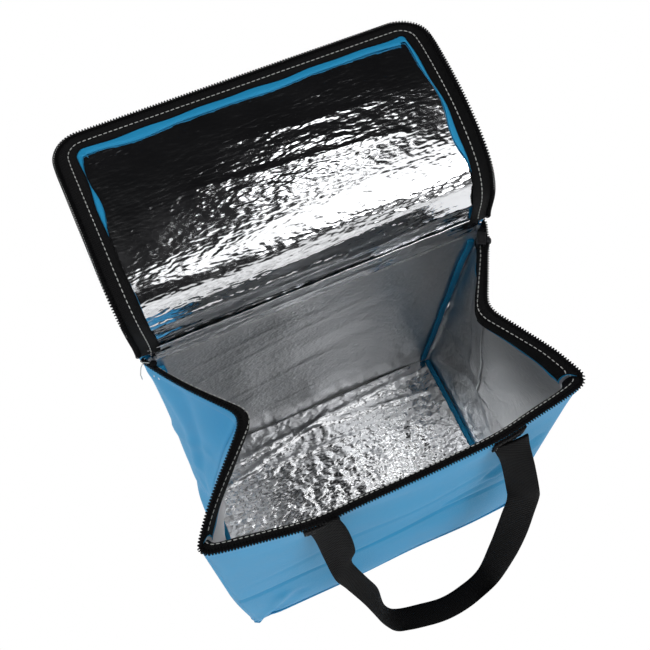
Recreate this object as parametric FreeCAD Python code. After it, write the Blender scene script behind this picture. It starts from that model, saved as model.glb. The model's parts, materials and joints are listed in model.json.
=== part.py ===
"""An insulated cooler bag, standing open: shell, foam and foil walls, folding sides, zipped lid and handles.

Frame: +X runs along the bag's width, +Y towards the hinged back edge of the lid, +Z up.
The origin is the middle of the base, on its underside. Millimetres.
"""
import FreeCAD
import Part
import math
import os

Vector = FreeCAD.Vector

# Shell
BASE_WIDTH = 280.0
BASE_DEPTH = 180.0
WALL_TOP = 276.0
CREASE_HEIGHT = 98.0
RIM_SHIFT = 14.0
RIM_DEPTH = 144.0
FRONT_CREASE_LEAN = 12.8
LEFT_FOLD_IN = 48.0
RIGHT_FOLD_IN = 37.0
FOLD_FROM_BACK = 71.0
CREASE_FOLD_FROM_BACK = 84.0

# Wall layers, from the outside in
FABRIC = 0.6
FOAM = 3.5
FOIL = 0.4
BASE_BOARD = 1.2
WALL = FABRIC + FOAM + FOIL

# The middle of each side, which folds in and out
FOLD_STRIP = 14.0
FOLD_SPLIT = 1.0
FOLD_GAP = 5.0
FOLD_START = 14.0
FOLD_BELOW_RIM = 3.0

# Zip
TAPE = 0.6
TAPE_WIDTH = 15.0
TAPE_BELOW_RIM = 12.0
COIL_RADIUS = 1.5
COIL_ABOVE_RIM = 4.5
ZIP_CORNER_GAP = 4.0
STOP_LENGTH = 3.5
STOP_WIDTH = 4.4

# Slider and its pull tab
SLIDER_START = 1.5
SLIDER_LENGTH = 11.0
SLIDER_WALL = 1.2
SLIDER_ROOF = 1.1
SLIDER_CLEARANCE = 0.4
SLIDER_SKIRT = 3.6
LOOP_WIDTH = 4.4
LOOP_THICK = 1.2
TAB_LENGTH = 20.0
TAB_WIDTH = 8.0
TAB_PIN = 1.3
TAB_CLEARANCE = 0.35
TAB_ARM = 1.4
TAB_OFF_WALL = 0.7

# Lid, drawn closed and then opened
LID_DEPTH = 180.0
LID_BEND_FROM_HINGE = 50.0
LID_CORNER = 22.0
LID_OVER_SLIDER = 0.9
LID_FABRIC_INSET = 3.0
LID_LINING_INSET = 8.0
LID_SPLIT = 0.3
LID_OFF_HINGE = 0.5
LID_OPEN = 92.0
LID_CURL = 78.8

# Handles
WEBBING_WIDTH = 25.0
WEBBING = 1.6
HANDLE_SPACING = 138.0
HANDLE_DROP = 276.0
HANDLE_CORNER = 50.0
HANDLE_BELOW_RIM = 16.0
HANDLE_SEWN = 11.0
HANDLE_CLEARANCE = 0.4
HANDLE_OFF_AXIS = 1.5
HANDLE_LIFT_OFF_FLOOR = 1.0

# How far a cutting shape runs past what it cuts
CUT_PAST = 1.0

# Heights and places that follow from those
COIL_Z = WALL_TOP + COIL_ABOVE_RIM
SLIDER_TOP = COIL_Z + COIL_RADIUS + SLIDER_CLEARANCE + SLIDER_ROOF
COIL_DEPTH = WALL + TAPE / 2
PIN_OUT = COIL_DEPTH + TAB_OFF_WALL + TAB_PIN / 2
PIN_HOLE = TAB_PIN / 2 + TAB_CLEARANCE
LOOP_TALL = PIN_HOLE + LOOP_THICK
LID_UNDERSIDE = SLIDER_TOP + LID_OVER_SLIDER + TAPE
HINGE_Z = LID_UNDERSIDE + WALL
BACK = BASE_DEPTH / 2
FRONT_CREASE_Y = -BASE_DEPTH / 2 + FRONT_CREASE_LEAN
FRONT_RIM_Y = BACK - RIM_DEPTH


def between(a, b, share):
    """The number that lies that share of the way from a to b."""
    return a + (b - a) * share


def along(a, b, length):
    """The point that lies that length from a towards b."""
    return a + (b - a).normalize() * length


def corner(side, end, depth, z):
    """A wall corner at height z, on the surface that lies depth inside the shell's skin.

    side is -1 on the left and 1 on the right, and end is -1 at the front and 1 at the back.
    """
    x = side * (BASE_WIDTH / 2 - depth) + RIM_SHIFT * z / WALL_TOP
    if end > 0:
        return Vector(x, BACK - depth, z)
    if z <= CREASE_HEIGHT:
        y = between(-BASE_DEPTH / 2, FRONT_CREASE_Y, z / CREASE_HEIGHT)
    else:
        y = between(FRONT_CREASE_Y, FRONT_RIM_Y, (z - CREASE_HEIGHT) / (WALL_TOP - CREASE_HEIGHT))
    return Vector(x, y + depth, z)


def fold(side, depth, z):
    """A point on the line where a side is folded inwards, at height z, on the surface at that depth."""
    share = (z - CREASE_HEIGHT) / (WALL_TOP - CREASE_HEIGHT)
    inwards = (LEFT_FOLD_IN if side < 0 else RIGHT_FOLD_IN) * share
    half_depth = RIM_DEPTH / 2
    slant = math.hypot(inwards, half_depth) / half_depth
    outer = side * BASE_WIDTH / 2 + RIM_SHIFT * z / WALL_TOP - side * inwards
    y = BACK - between(CREASE_FOLD_FROM_BACK, FOLD_FROM_BACK, share)
    return Vector(outer - side * depth * slant, y, z)


def solid_between(near, far, triangles):
    """A closed solid between two matching sets of points, each covered by the same triangles."""
    def face(points):
        return Part.Face(Part.makePolygon(points + [points[0]]))

    faces, sides = [], {}
    for a, b, c in triangles:
        faces.append(face([near[a], near[b], near[c]]))
        faces.append(face([far[c], far[b], far[a]]))
        for pair in ((a, b), (b, c), (c, a)):
            key = tuple(sorted(pair))
            sides[key] = sides.get(key, 0) + 1
    for (a, b), count in sides.items():
        if count == 1:
            faces.append(face([near[a], near[b], far[b]]))
            faces.append(face([near[a], far[b], far[a]]))
    shell = Part.makeShell(faces)
    shell.sewShape()
    solid = Part.makeSolid(Part.Shell(shell.Faces))
    if solid.Volume < 0:
        solid.reverse()
    return solid.removeSplitter()


def quad(a, b, c, d):
    """The two triangles of a four-sided face, with the diagonal from its first corner."""
    return [(a, b, c), (a, c, d)]


def wall_points(depth):
    """Every corner of the bag's walls on the surface at that depth, by name."""
    points = {}
    for x_name, side in (("left", -1), ("right", 1)):
        for y_name, end in (("front", -1), ("back", 1)):
            name = f"{y_name}_{x_name}"
            points["base_" + name] = corner(side, end, depth, depth)
            points["crease_" + name] = corner(side, end, depth, CREASE_HEIGHT)
            points["rim_" + name] = corner(side, end, depth, WALL_TOP)
        low = points[f"fold_low_{x_name}"] = fold(side, depth, CREASE_HEIGHT)
        top = points[f"fold_top_{x_name}"] = fold(side, depth, WALL_TOP)
        start = along(low, top, FOLD_START)
        strip_z = WALL_TOP - FOLD_BELOW_RIM
        strip_top = fold(side, depth, strip_z)
        for y_name, end in (("front", -1), ("back", 1)):
            name = f"{y_name}_{x_name}"
            crease, rim = points["crease_" + name], points["rim_" + name]
            strip_rim = corner(side, end, depth, strip_z)
            points["panel_low_" + name] = along(low, crease, FOLD_GAP)
            points["panel_top_" + name] = along(top, rim, FOLD_STRIP + FOLD_GAP)
            points["strip_split_" + name] = along(strip_top, strip_rim, FOLD_SPLIT)
            points["strip_edge_" + name] = along(strip_top, strip_rim, FOLD_STRIP)
            points["strip_low_" + name] = along(start, crease, FOLD_SPLIT)
    return points


def wall_slab(triangles, outer, inner):
    """One layer of a wall, from one depth to another."""
    return solid_between(wall_points(outer), wall_points(inner), triangles)


WALL_FACES = {
    "base": quad("base_front_left", "base_front_right", "base_back_right", "base_back_left"),
    "back": quad("base_back_left", "base_back_right", "rim_back_right", "rim_back_left"),
    "front_lower": quad("base_front_left", "base_front_right", "crease_front_right", "crease_front_left"),
    "front_upper": quad("crease_front_left", "crease_front_right", "rim_front_right", "rim_front_left"),
}
for SIDE in ("left", "right"):
    BACK_EDGE = [("base_back_" + SIDE, "crease_back_" + SIDE, "crease_front_" + SIDE)]
    FRONT_EDGE = [("base_back_" + SIDE, "crease_front_" + SIDE, "base_front_" + SIDE)]
    WALL_FACES[SIDE + "_lower"] = BACK_EDGE + FRONT_EDGE
    for END in ("front", "back"):
        NAME = f"{END}_{SIDE}"
        WALL_FACES[f"{SIDE}_{END}_upper"] = [
            ("panel_low_" + NAME, "panel_top_" + NAME, "rim_" + NAME),
            ("panel_low_" + NAME, "rim_" + NAME, "crease_" + NAME),
        ]


def walls():
    """The shell's fabric, foam and foil, as one solid each for every panel between two folds."""
    made = {}
    for name, faces in WALL_FACES.items():
        made[name + "_fabric"] = wall_slab(faces, 0, FABRIC)
        foam_end = FABRIC + FOAM - (BASE_BOARD if name == "base" else 0)
        made[name + "_foam"] = wall_slab(faces, FABRIC, foam_end)
        made[name + "_foil"] = wall_slab(faces, FABRIC + FOAM, WALL)
    made["base_board"] = wall_slab(WALL_FACES["base"], FABRIC + FOAM - BASE_BOARD, FABRIC + FOAM)
    return made


def side_folds():
    """The middle of each side, cut along the fold into a front and a back half that swing out together."""
    made = {}
    for side in ("left", "right"):
        for end in ("front", "back"):
            name = f"{end}_{side}"
            strip = [("strip_low_" + name, "strip_split_" + name, "strip_edge_" + name)]
            made[f"{side}_{end}_fold"] = wall_slab(strip, 0, WALL)
    return made


def rod(a, b, radius):
    """A round bar from one point to another."""
    return Part.makeCylinder(radius, (b - a).Length, a, b - a)


def zip_strip(ends):
    """Tape and coil along straight stretches of rim.

    Each stretch is a function that gives its two end points at any depth and height.
    """
    tapes, coils = [], []
    for end in ends:
        low, high = WALL_TOP - TAPE_BELOW_RIM, COIL_Z - COIL_RADIUS
        near, far = {}, {}
        for points, depth in ((near, WALL), (far, WALL + TAPE)):
            for name, z in (("low", low), ("high", high)):
                points[name + "_a"], points[name + "_b"] = end(depth, z)
        tapes.append(solid_between(near, far, quad("low_a", "low_b", "high_b", "high_a")))
        a, b = end(COIL_DEPTH, COIL_Z)
        coils.append(rod(a, b, COIL_RADIUS))
    return Part.makeCompound(tapes), Part.makeCompound(coils)


def front_stretch(depth, z):
    """Where the zip along the front rim starts and stops."""
    a, b = corner(-1, -1, depth, z), corner(1, -1, depth, z)
    return along(a, b, ZIP_CORNER_GAP), along(b, a, ZIP_CORNER_GAP)


def side_stretch(side, end):
    """Where the zip along one arm of a side's rim starts, near the corner, and stops, near the fold."""
    def ends(depth, z):
        outer, inner = corner(side, end, depth, z), fold(side, depth, z)
        return along(outer, inner, ZIP_CORNER_GAP + STOP_LENGTH), along(inner, outer, FOLD_STRIP + FOLD_GAP)
    return ends


def rim_zip():
    """The half of the zip that is sewn to the rim, on three sides."""
    made = {}
    made["front_rim_tape"], made["front_rim_coil"] = zip_strip([front_stretch])
    for name, side in (("left", -1), ("right", 1)):
        arms = [side_stretch(side, -1), side_stretch(side, 1)]
        made[name + "_rim_tape"], made[name + "_rim_coil"] = zip_strip(arms)
    return made


def arm_frame(side, travel):
    """A frame on the coil of a side's back arm, that far from the corner.

    It is an origin and three directions: forwards, across and up. Across points out of the bag
    on the right and into it on the left.
    """
    corner_point, fold_point = corner(side, 1, COIL_DEPTH, COIL_Z), fold(side, COIL_DEPTH, COIL_Z)
    forward = (fold_point - corner_point).normalize()
    up = Vector(0, 0, 1)
    return along(corner_point, fold_point, travel), (forward, up.cross(forward), up)


def block(origin, directions, low, high):
    """A box between two corners, given in a frame of three directions at right angles."""
    (lx, ly, lz), (hx, hy, hz) = low, high
    corners = [Vector(lx, ly, lz), Vector(hx, ly, lz), Vector(hx, hy, lz), Vector(lx, hy, lz)]
    x, y, z = directions
    base = [origin + x * c.x + y * c.y + z * c.z for c in corners]
    return Part.Face(Part.makePolygon(base + [base[0]])).extrude(z * (hz - lz))


def zip_stop(side):
    """The crimped end of the zip, at the back corner of the rim."""
    origin, directions = arm_frame(side, ZIP_CORNER_GAP)
    low = (0, -STOP_WIDTH / 2, -COIL_RADIUS)
    high = (STOP_LENGTH, STOP_WIDTH / 2, COIL_RADIUS)
    return block(origin, directions, low, high)


def slider_frame():
    """The frame at the slider's middle, on the right-hand arm of the rim."""
    return arm_frame(1, ZIP_CORNER_GAP + STOP_LENGTH + SLIDER_START + SLIDER_LENGTH / 2)


def slider():
    """The zip slider: two cheeks and a roof round the coil, with a loop on its outer cheek for the tab."""
    origin, directions = slider_frame()
    long = SLIDER_LENGTH / 2
    inside = COIL_RADIUS + SLIDER_CLEARANCE
    half = inside + SLIDER_WALL
    body = block(origin, directions, (-long, -half, -SLIDER_SKIRT), (long, half, SLIDER_TOP - COIL_Z))
    past = long + CUT_PAST
    channel = block(origin, directions, (-past, -inside, -SLIDER_SKIRT - CUT_PAST), (past, inside, inside))
    wide, past = LOOP_WIDTH / 2, LOOP_WIDTH / 2 + CUT_PAST
    reach = PIN_OUT + PIN_HOLE
    loop = block(origin, directions, (-wide, half, -LOOP_TALL), (wide, reach + LOOP_THICK, LOOP_TALL))
    hole = block(origin, directions, (-past, half, -PIN_HOLE), (past, reach, PIN_HOLE))
    return body.cut(channel).fuse(loop.cut(hole)).removeSplitter()


def pull_tab():
    """The tab that hangs from the slider's loop, flat to the wall: a bar, two arms and a leaf."""
    origin, (forward, across, up) = slider_frame()
    pin = origin + across * PIN_OUT
    down_the_wall = fold(1, 0, CREASE_HEIGHT) - corner(1, 1, 0, COIL_Z)
    outwards = forward.cross(down_the_wall).normalize()
    directions = (forward, outwards, forward.cross(outwards))
    gap, low = LOOP_WIDTH / 2 + TAB_CLEARANCE, math.hypot(LOOP_TALL, LOOP_TALL) + TAB_CLEARANCE
    half, wide, drop = TAB_PIN / 2, gap + TAB_ARM, low + TAB_ARM
    past = half + CUT_PAST
    bar = block(pin, directions, (-wide, -half, -half), (wide, half, half))
    frame = block(pin, directions, (-wide, -half, -drop), (wide, half, half))
    window = block(pin, directions, (-gap, -past, -low), (gap, past, past))
    leaf = block(pin, directions, (-TAB_WIDTH / 2, -half, -TAB_LENGTH), (TAB_WIDTH / 2, half, -drop))
    return frame.cut(window).fuse([bar, leaf]).removeSplitter()


def lid_outline(inset, front, back):
    """The closed lid's outline at that distance inside its edge, between two Y values, in the XY plane.

    Only the corners at the lid's front edge are round.
    """
    left = -BASE_WIDTH / 2 + RIM_SHIFT + inset
    right = BASE_WIDTH / 2 + RIM_SHIFT - inset
    edge = BACK - LID_DEPTH + inset
    if front > edge:
        ends = [(left, front), (right, front), (right, back), (left, back), (left, front)]
        return Part.makePolygon([Vector(x, y, 0) for x, y in ends])
    radius = LID_CORNER - inset
    return Part.Wire([
        Part.LineSegment(Vector(left, back, 0), Vector(left, edge + radius, 0)).toShape(),
        arc(left + radius, edge + radius, radius, 180, 270),
        Part.LineSegment(Vector(left + radius, edge, 0), Vector(right - radius, edge, 0)).toShape(),
        arc(right - radius, edge + radius, radius, 270, 360),
        Part.LineSegment(Vector(right, edge + radius, 0), Vector(right, back, 0)).toShape(),
        Part.LineSegment(Vector(right, back, 0), Vector(left, back, 0)).toShape(),
    ])


def arc(x, y, radius, start, end):
    """A round stretch of outline, in the XY plane, between two angles in degrees."""
    circle = Part.Circle(Vector(x, y, 0), Vector(0, 0, 1), radius)
    return Part.ArcOfCircle(circle, math.radians(start), math.radians(end)).toShape()


def lid_plate(inset, front, back, low, high):
    """A layer of the closed lid."""
    plate = Part.Face(lid_outline(inset, front, back)).extrude(Vector(0, 0, high - low))
    plate.translate(Vector(0, 0, low))
    return plate


def lid_coil(front, back):
    """The zip's coil along the closed lid's edge, as far as it lies between two Y values."""
    inset = COIL_RADIUS
    left = -BASE_WIDTH / 2 + RIM_SHIFT + inset
    right = BASE_WIDTH / 2 + RIM_SHIFT - inset
    edge = BACK - LID_DEPTH + inset
    z = LID_UNDERSIDE + COIL_RADIUS - TAPE
    if front > edge:
        rods = [rod(Vector(x, back, z), Vector(x, front, z), COIL_RADIUS) for x in (left, right)]
        return Part.makeCompound(rods)
    radius = LID_CORNER - inset
    path = Part.Wire([
        Part.LineSegment(Vector(left, back, 0), Vector(left, edge + radius, 0)).toShape(),
        arc(left + radius, edge + radius, radius, 180, 270),
        Part.LineSegment(Vector(left + radius, edge, 0), Vector(right - radius, edge, 0)).toShape(),
        arc(right - radius, edge + radius, radius, 270, 360),
        Part.LineSegment(Vector(right, edge + radius, 0), Vector(right, back, 0)).toShape(),
    ])
    path.translate(Vector(0, 0, z))
    ring = Part.Wire(Part.makeCircle(COIL_RADIUS, Vector(left, back, z), Vector(0, -1, 0)))
    return path.makePipeShell([ring], True, False)


def lid_tape(front, back):
    """The zip's tape under the closed lid's edge, as far as it lies between two Y values."""
    low, high = LID_UNDERSIDE - TAPE, LID_UNDERSIDE
    outer = lid_plate(2 * COIL_RADIUS, front, back, low, high)
    if front > BACK - LID_DEPTH:
        front -= CUT_PAST
    inset = 2 * COIL_RADIUS + TAPE_WIDTH
    return outer.cut(lid_plate(inset, front, back + CUT_PAST, low - CUT_PAST, high + CUT_PAST))


def lid():
    """The lid in two parts, either side of the line where it curls, opened to the resting place."""
    bend = BACK - LID_BEND_FROM_HINGE
    parts = {
        "lid_back": (bend + LID_SPLIT, BACK - FABRIC - LID_OFF_HINGE),
        "lid_front": (BACK - LID_DEPTH, bend - LID_SPLIT),
    }
    made = {}
    top = HINGE_Z
    for name, (front, back) in parts.items():
        closed = {
            "_fabric": lid_plate(LID_FABRIC_INSET, front, back, top - FABRIC, top),
            "_foam": lid_plate(LID_LINING_INSET, front, back, top - FABRIC - FOAM, top - FABRIC),
            "_foil": lid_plate(LID_LINING_INSET, front, back, LID_UNDERSIDE, LID_UNDERSIDE + FOIL),
            "_tape": lid_tape(front, back),
            "_coil": lid_coil(front, back),
        }
        for layer, shape in closed.items():
            if name == "lid_front":
                shape.rotate(Vector(0, bend, HINGE_Z), Vector(1, 0, 0), -LID_CURL)
            shape.rotate(Vector(0, BACK, HINGE_Z), Vector(1, 0, 0), -LID_OPEN)
            made[name + layer] = shape
    return made


def hinge_strip():
    """The shell's fabric where it runs on from the back wall into the lid."""
    left, right = corner(-1, 1, 0, WALL_TOP).x, corner(1, 1, 0, WALL_TOP).x
    top = HINGE_Z - FABRIC - LID_SPLIT
    return Part.makeBox(right - left, FABRIC, top - WALL_TOP, Vector(left, BACK - FABRIC, WALL_TOP))


def handle_outline():
    """A handle laid flat: two straight legs and a bottom with round corners, hanging from Y = 0 along -Y."""
    half, wide = HANDLE_SPACING / 2, WEBBING_WIDTH / 2
    edges = []
    for offset in (wide, -wide):
        x, low, radius = half + offset, -HANDLE_DROP + wide - offset, HANDLE_CORNER + offset
        edges.append([
            Part.LineSegment(Vector(-x, -HANDLE_OFF_AXIS, 0), Vector(-x, low + radius, 0)).toShape(),
            arc(-x + radius, low + radius, radius, 180, 270),
            Part.LineSegment(Vector(-x + radius, low, 0), Vector(x - radius, low, 0)).toShape(),
            arc(x - radius, low + radius, radius, 270, 360),
            Part.LineSegment(Vector(x, low + radius, 0), Vector(x, -HANDLE_OFF_AXIS, 0)).toShape(),
        ])
    ends = [Part.LineSegment(Vector(s * (half + wide), -HANDLE_OFF_AXIS, 0),
                             Vector(s * (half - wide), -HANDLE_OFF_AXIS, 0)).toShape() for s in (-1, 1)]
    return Part.Wire(Part.__sortEdges__(edges[0] + edges[1] + ends))


def handle_axis(end):
    """The middle of the line that a handle swings about, far enough out to pass over its sewn ends."""
    z = WALL_TOP - HANDLE_BELOW_RIM
    wall = corner(-1, end, 0, z).y
    out = WEBBING + HANDLE_CLEARANCE + WEBBING / 2
    return Vector(RIM_SHIFT * z / WALL_TOP, wall + end * out, z)


def handle(end):
    """A webbing handle, leaning out from the wall until its loop meets the floor."""
    plate = Part.Face(handle_outline()).extrude(Vector(0, 0, WEBBING))
    plate.translate(Vector(0, 0, -WEBBING / 2))
    axis = handle_axis(end)
    lean = math.degrees(math.acos((axis.z - HANDLE_LIFT_OFF_FLOOR - WEBBING / 2) / HANDLE_DROP))
    plate.rotate(Vector(0, 0, 0), Vector(1, 0, 0), 90 + end * lean)
    plate.translate(axis)
    return plate


def handle_ends(end):
    """The two ends of a handle, sewn flat on the wall just above the line that it swings about."""
    low = WALL_TOP - HANDLE_BELOW_RIM + HANDLE_OFF_AXIS
    middle = RIM_SHIFT * low / WALL_TOP
    patches = []
    for side in (-1, 1):
        centre = middle + side * HANDLE_SPACING / 2
        near, far = {}, {}
        for points, depth in ((near, -WEBBING), (far, 0)):
            for name, z in (("low", low), ("high", low + HANDLE_SEWN)):
                y = corner(-1, end, depth, z).y
                points[name + "_a"] = Vector(centre - WEBBING_WIDTH / 2, y, z)
                points[name + "_b"] = Vector(centre + WEBBING_WIDTH / 2, y, z)
        patches.append(solid_between(near, far, quad("low_a", "low_b", "high_b", "high_a")))
    return Part.makeCompound(patches)


def handles():
    """Both handles and their sewn ends."""
    made = {}
    for name, end in (("front", -1), ("back", 1)):
        made[name + "_handle"] = handle(end)
        made[name + "_handle_ends"] = handle_ends(end)
    return made


NODES = {}
NODES.update(walls())
NODES.update(side_folds())
NODES.update(rim_zip())
NODES.update(lid())
NODES.update(handles())
NODES["hinge_strip"] = hinge_strip()
NODES["zip_closed_end"] = zip_stop(-1)
NODES["zip_open_end"] = zip_stop(1)
NODES["slider"] = slider()
NODES["pull_tab"] = pull_tab()

os.makedirs("parts", exist_ok=True)
for node, shape in NODES.items():
    shape.exportStep(os.path.join("parts", node + ".step"))
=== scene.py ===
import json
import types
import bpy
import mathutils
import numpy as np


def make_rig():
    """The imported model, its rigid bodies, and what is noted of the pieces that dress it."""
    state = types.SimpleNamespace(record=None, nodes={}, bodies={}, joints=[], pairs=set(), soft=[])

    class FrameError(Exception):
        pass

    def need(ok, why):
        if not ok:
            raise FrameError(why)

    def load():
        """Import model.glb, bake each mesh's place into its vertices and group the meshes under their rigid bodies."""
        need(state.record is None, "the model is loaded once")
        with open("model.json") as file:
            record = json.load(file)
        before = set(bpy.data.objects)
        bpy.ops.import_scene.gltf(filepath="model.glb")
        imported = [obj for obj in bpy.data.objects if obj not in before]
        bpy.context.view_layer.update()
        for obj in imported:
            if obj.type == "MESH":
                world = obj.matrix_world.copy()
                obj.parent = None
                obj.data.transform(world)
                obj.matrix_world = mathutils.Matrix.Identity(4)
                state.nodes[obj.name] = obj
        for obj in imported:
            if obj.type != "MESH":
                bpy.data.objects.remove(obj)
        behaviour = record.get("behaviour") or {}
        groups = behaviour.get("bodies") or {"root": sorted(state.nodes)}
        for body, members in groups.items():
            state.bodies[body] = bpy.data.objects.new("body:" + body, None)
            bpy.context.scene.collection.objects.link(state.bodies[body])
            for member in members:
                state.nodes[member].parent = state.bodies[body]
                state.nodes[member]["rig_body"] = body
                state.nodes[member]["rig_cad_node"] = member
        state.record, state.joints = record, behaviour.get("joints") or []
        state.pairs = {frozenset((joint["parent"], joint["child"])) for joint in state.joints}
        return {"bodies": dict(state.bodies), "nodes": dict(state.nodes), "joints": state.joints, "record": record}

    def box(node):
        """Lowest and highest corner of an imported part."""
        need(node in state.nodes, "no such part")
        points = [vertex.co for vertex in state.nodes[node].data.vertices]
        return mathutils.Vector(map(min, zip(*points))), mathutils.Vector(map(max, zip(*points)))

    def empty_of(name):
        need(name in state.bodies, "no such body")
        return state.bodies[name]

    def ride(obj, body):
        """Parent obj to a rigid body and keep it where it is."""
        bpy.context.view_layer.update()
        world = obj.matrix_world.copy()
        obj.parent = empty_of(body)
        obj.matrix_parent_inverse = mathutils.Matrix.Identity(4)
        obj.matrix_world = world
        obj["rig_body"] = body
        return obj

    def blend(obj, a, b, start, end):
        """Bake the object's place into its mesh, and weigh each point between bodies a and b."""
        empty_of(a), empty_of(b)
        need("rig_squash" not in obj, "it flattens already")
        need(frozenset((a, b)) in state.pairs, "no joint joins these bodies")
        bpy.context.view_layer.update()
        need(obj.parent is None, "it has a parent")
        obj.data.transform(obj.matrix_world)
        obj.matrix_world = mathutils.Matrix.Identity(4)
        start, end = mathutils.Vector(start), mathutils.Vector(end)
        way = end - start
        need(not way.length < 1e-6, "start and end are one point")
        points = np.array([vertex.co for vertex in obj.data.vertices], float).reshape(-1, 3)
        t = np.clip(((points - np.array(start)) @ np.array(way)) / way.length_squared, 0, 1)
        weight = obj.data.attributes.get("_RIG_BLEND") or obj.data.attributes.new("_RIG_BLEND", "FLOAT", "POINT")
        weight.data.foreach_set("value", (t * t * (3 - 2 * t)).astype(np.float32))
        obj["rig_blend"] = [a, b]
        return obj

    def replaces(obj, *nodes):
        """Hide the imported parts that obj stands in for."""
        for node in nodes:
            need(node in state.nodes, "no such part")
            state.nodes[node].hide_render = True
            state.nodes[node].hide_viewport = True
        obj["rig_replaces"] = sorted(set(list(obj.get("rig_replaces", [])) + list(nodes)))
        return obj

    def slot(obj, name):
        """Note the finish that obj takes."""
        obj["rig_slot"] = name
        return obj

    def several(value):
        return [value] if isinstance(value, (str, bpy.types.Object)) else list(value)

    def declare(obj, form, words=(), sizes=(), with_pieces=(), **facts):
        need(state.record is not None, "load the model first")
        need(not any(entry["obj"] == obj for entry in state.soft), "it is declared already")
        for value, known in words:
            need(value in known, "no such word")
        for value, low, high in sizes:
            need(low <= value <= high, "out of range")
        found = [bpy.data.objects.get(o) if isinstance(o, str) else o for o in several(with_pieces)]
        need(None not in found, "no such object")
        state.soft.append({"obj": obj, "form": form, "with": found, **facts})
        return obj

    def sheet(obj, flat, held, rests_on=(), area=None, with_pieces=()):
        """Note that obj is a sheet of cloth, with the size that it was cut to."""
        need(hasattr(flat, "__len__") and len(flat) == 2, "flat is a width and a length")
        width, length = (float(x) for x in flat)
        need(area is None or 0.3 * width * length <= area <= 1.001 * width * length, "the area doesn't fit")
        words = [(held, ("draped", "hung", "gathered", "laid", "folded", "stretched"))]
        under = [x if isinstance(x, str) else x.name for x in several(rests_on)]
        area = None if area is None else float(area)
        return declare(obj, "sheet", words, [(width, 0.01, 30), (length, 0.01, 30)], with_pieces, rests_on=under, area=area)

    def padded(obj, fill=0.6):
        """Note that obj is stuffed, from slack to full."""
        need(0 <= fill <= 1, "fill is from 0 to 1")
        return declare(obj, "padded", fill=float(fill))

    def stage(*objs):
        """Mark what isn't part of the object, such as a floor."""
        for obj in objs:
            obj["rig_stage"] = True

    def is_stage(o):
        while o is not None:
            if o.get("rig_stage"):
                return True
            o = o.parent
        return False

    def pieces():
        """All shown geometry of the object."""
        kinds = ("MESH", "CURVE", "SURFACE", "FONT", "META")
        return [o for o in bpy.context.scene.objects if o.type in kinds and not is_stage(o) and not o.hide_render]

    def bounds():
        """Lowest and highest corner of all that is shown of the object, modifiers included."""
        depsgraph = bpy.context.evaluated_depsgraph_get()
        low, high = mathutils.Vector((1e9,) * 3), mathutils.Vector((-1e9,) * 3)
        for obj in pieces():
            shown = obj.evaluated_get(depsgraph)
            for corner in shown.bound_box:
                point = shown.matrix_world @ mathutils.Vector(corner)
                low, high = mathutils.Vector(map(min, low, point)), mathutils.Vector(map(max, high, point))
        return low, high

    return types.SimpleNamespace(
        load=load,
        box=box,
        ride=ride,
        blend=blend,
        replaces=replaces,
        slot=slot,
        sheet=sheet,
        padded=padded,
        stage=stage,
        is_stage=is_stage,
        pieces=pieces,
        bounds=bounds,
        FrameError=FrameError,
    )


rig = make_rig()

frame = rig.load()
cad_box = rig.bounds()

import json
import math

import bpy
import numpy as np
from mathutils import Matrix, Vector

# ---------------------------------------------------------------------------
# Shell. One skin of coated woven polyester, cut into a front, a back, a base and two sides and sewn along
# the corners. The front leans back from a crease, and each side folds inwards along its middle.
# Every wall is a function of a place along it, a height and a depth inside the skin, all in millimetres.


def corners_of(node):
    """The lowest and highest corners of a part of the frame, in millimetres."""
    low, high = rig.box(node)
    return np.array(low) * 1000, np.array(high) * 1000


BASE_LOW, BASE_HIGH = corners_of("base_fabric")
BACK_HIGH = corners_of("back_fabric")[1]
FRONT_LOW, FRONT_HIGH = corners_of("front_upper_fabric")
CLOTH = 0.6
HALF_WIDTH, BACK, FRONT = BASE_HIGH[0], BASE_HIGH[1], BASE_LOW[1]
WALL_TOP, CREASE = BACK_HIGH[2], FRONT_LOW[2]
SHIFT = BACK_HIGH[0] - HALF_WIDTH
CREASE_Y, RIM_Y = FRONT_LOW[1], FRONT_HIGH[1] - CLOTH
FOLD_IN = {-1: 48.0, 1: 37.0}
FOLD_Y_LOW, FOLD_Y_TOP = 6.0, 19.0
FOLD_STARTS, FOLD_POWER, FOLD_ROUND = 60.0, 1.35, 0.14
CORNER_SOFT, CORNER_REACH = 2.0, 7.0
HANDLE_T = (0.255, 0.745)
FRONT_PULLS = [
    (2.6, (-136, 4), (-98, 74), 6), (-2.0, (-128, 2), (-84, 62), 7), (-2.2, (96, 150), (134, 196), 5),
    (1.6, (104, 142), (138, 176), 5), (-1.5, (60, 120), (128, 138), 5),
]
SIDE_PULLS = [
    (-2.0, (-70, 30), (6, 104), 7), (-1.6, (76, 24), (8, 112), 8), (2.2, (80, 262), (36, 150), 8),
    (-2.0, (60, 262), (24, 128), 6), (-1.8, (-40, 258), (0, 150), 7), (1.5, (88, 130), (30, 196), 6),
]


def wave(a, b, seed, size, count=7):
    """A gentle uneven swell over a sheet, mostly between -1 and 1, with humps about that size."""
    pick = np.random.default_rng(seed)
    total = 0
    for _ in range(count):
        turn, phase = pick.uniform(0, 2 * math.pi, 2)
        pace = 2 * math.pi / (size * pick.uniform(1.4, 2.8))
        total = total + np.cos(pace * (a * math.cos(turn) + b * math.sin(turn)) + phase)
    return total / math.sqrt(count)


def near_line(a, b, start, end, width):
    """1 on the line from start to end, fading to 0 about a width away from it."""
    (a0, b0), (a1, b1) = start, end
    length = (a1 - a0) ** 2 + (b1 - b0) ** 2
    share = np.clip(((a - a0) * (a1 - a0) + (b - b0) * (b1 - b0)) / length, 0, 1)
    away = np.hypot(a - a0 - share * (a1 - a0), b - b0 - share * (b1 - b0))
    return np.exp(-(away / width) ** 2)


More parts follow.
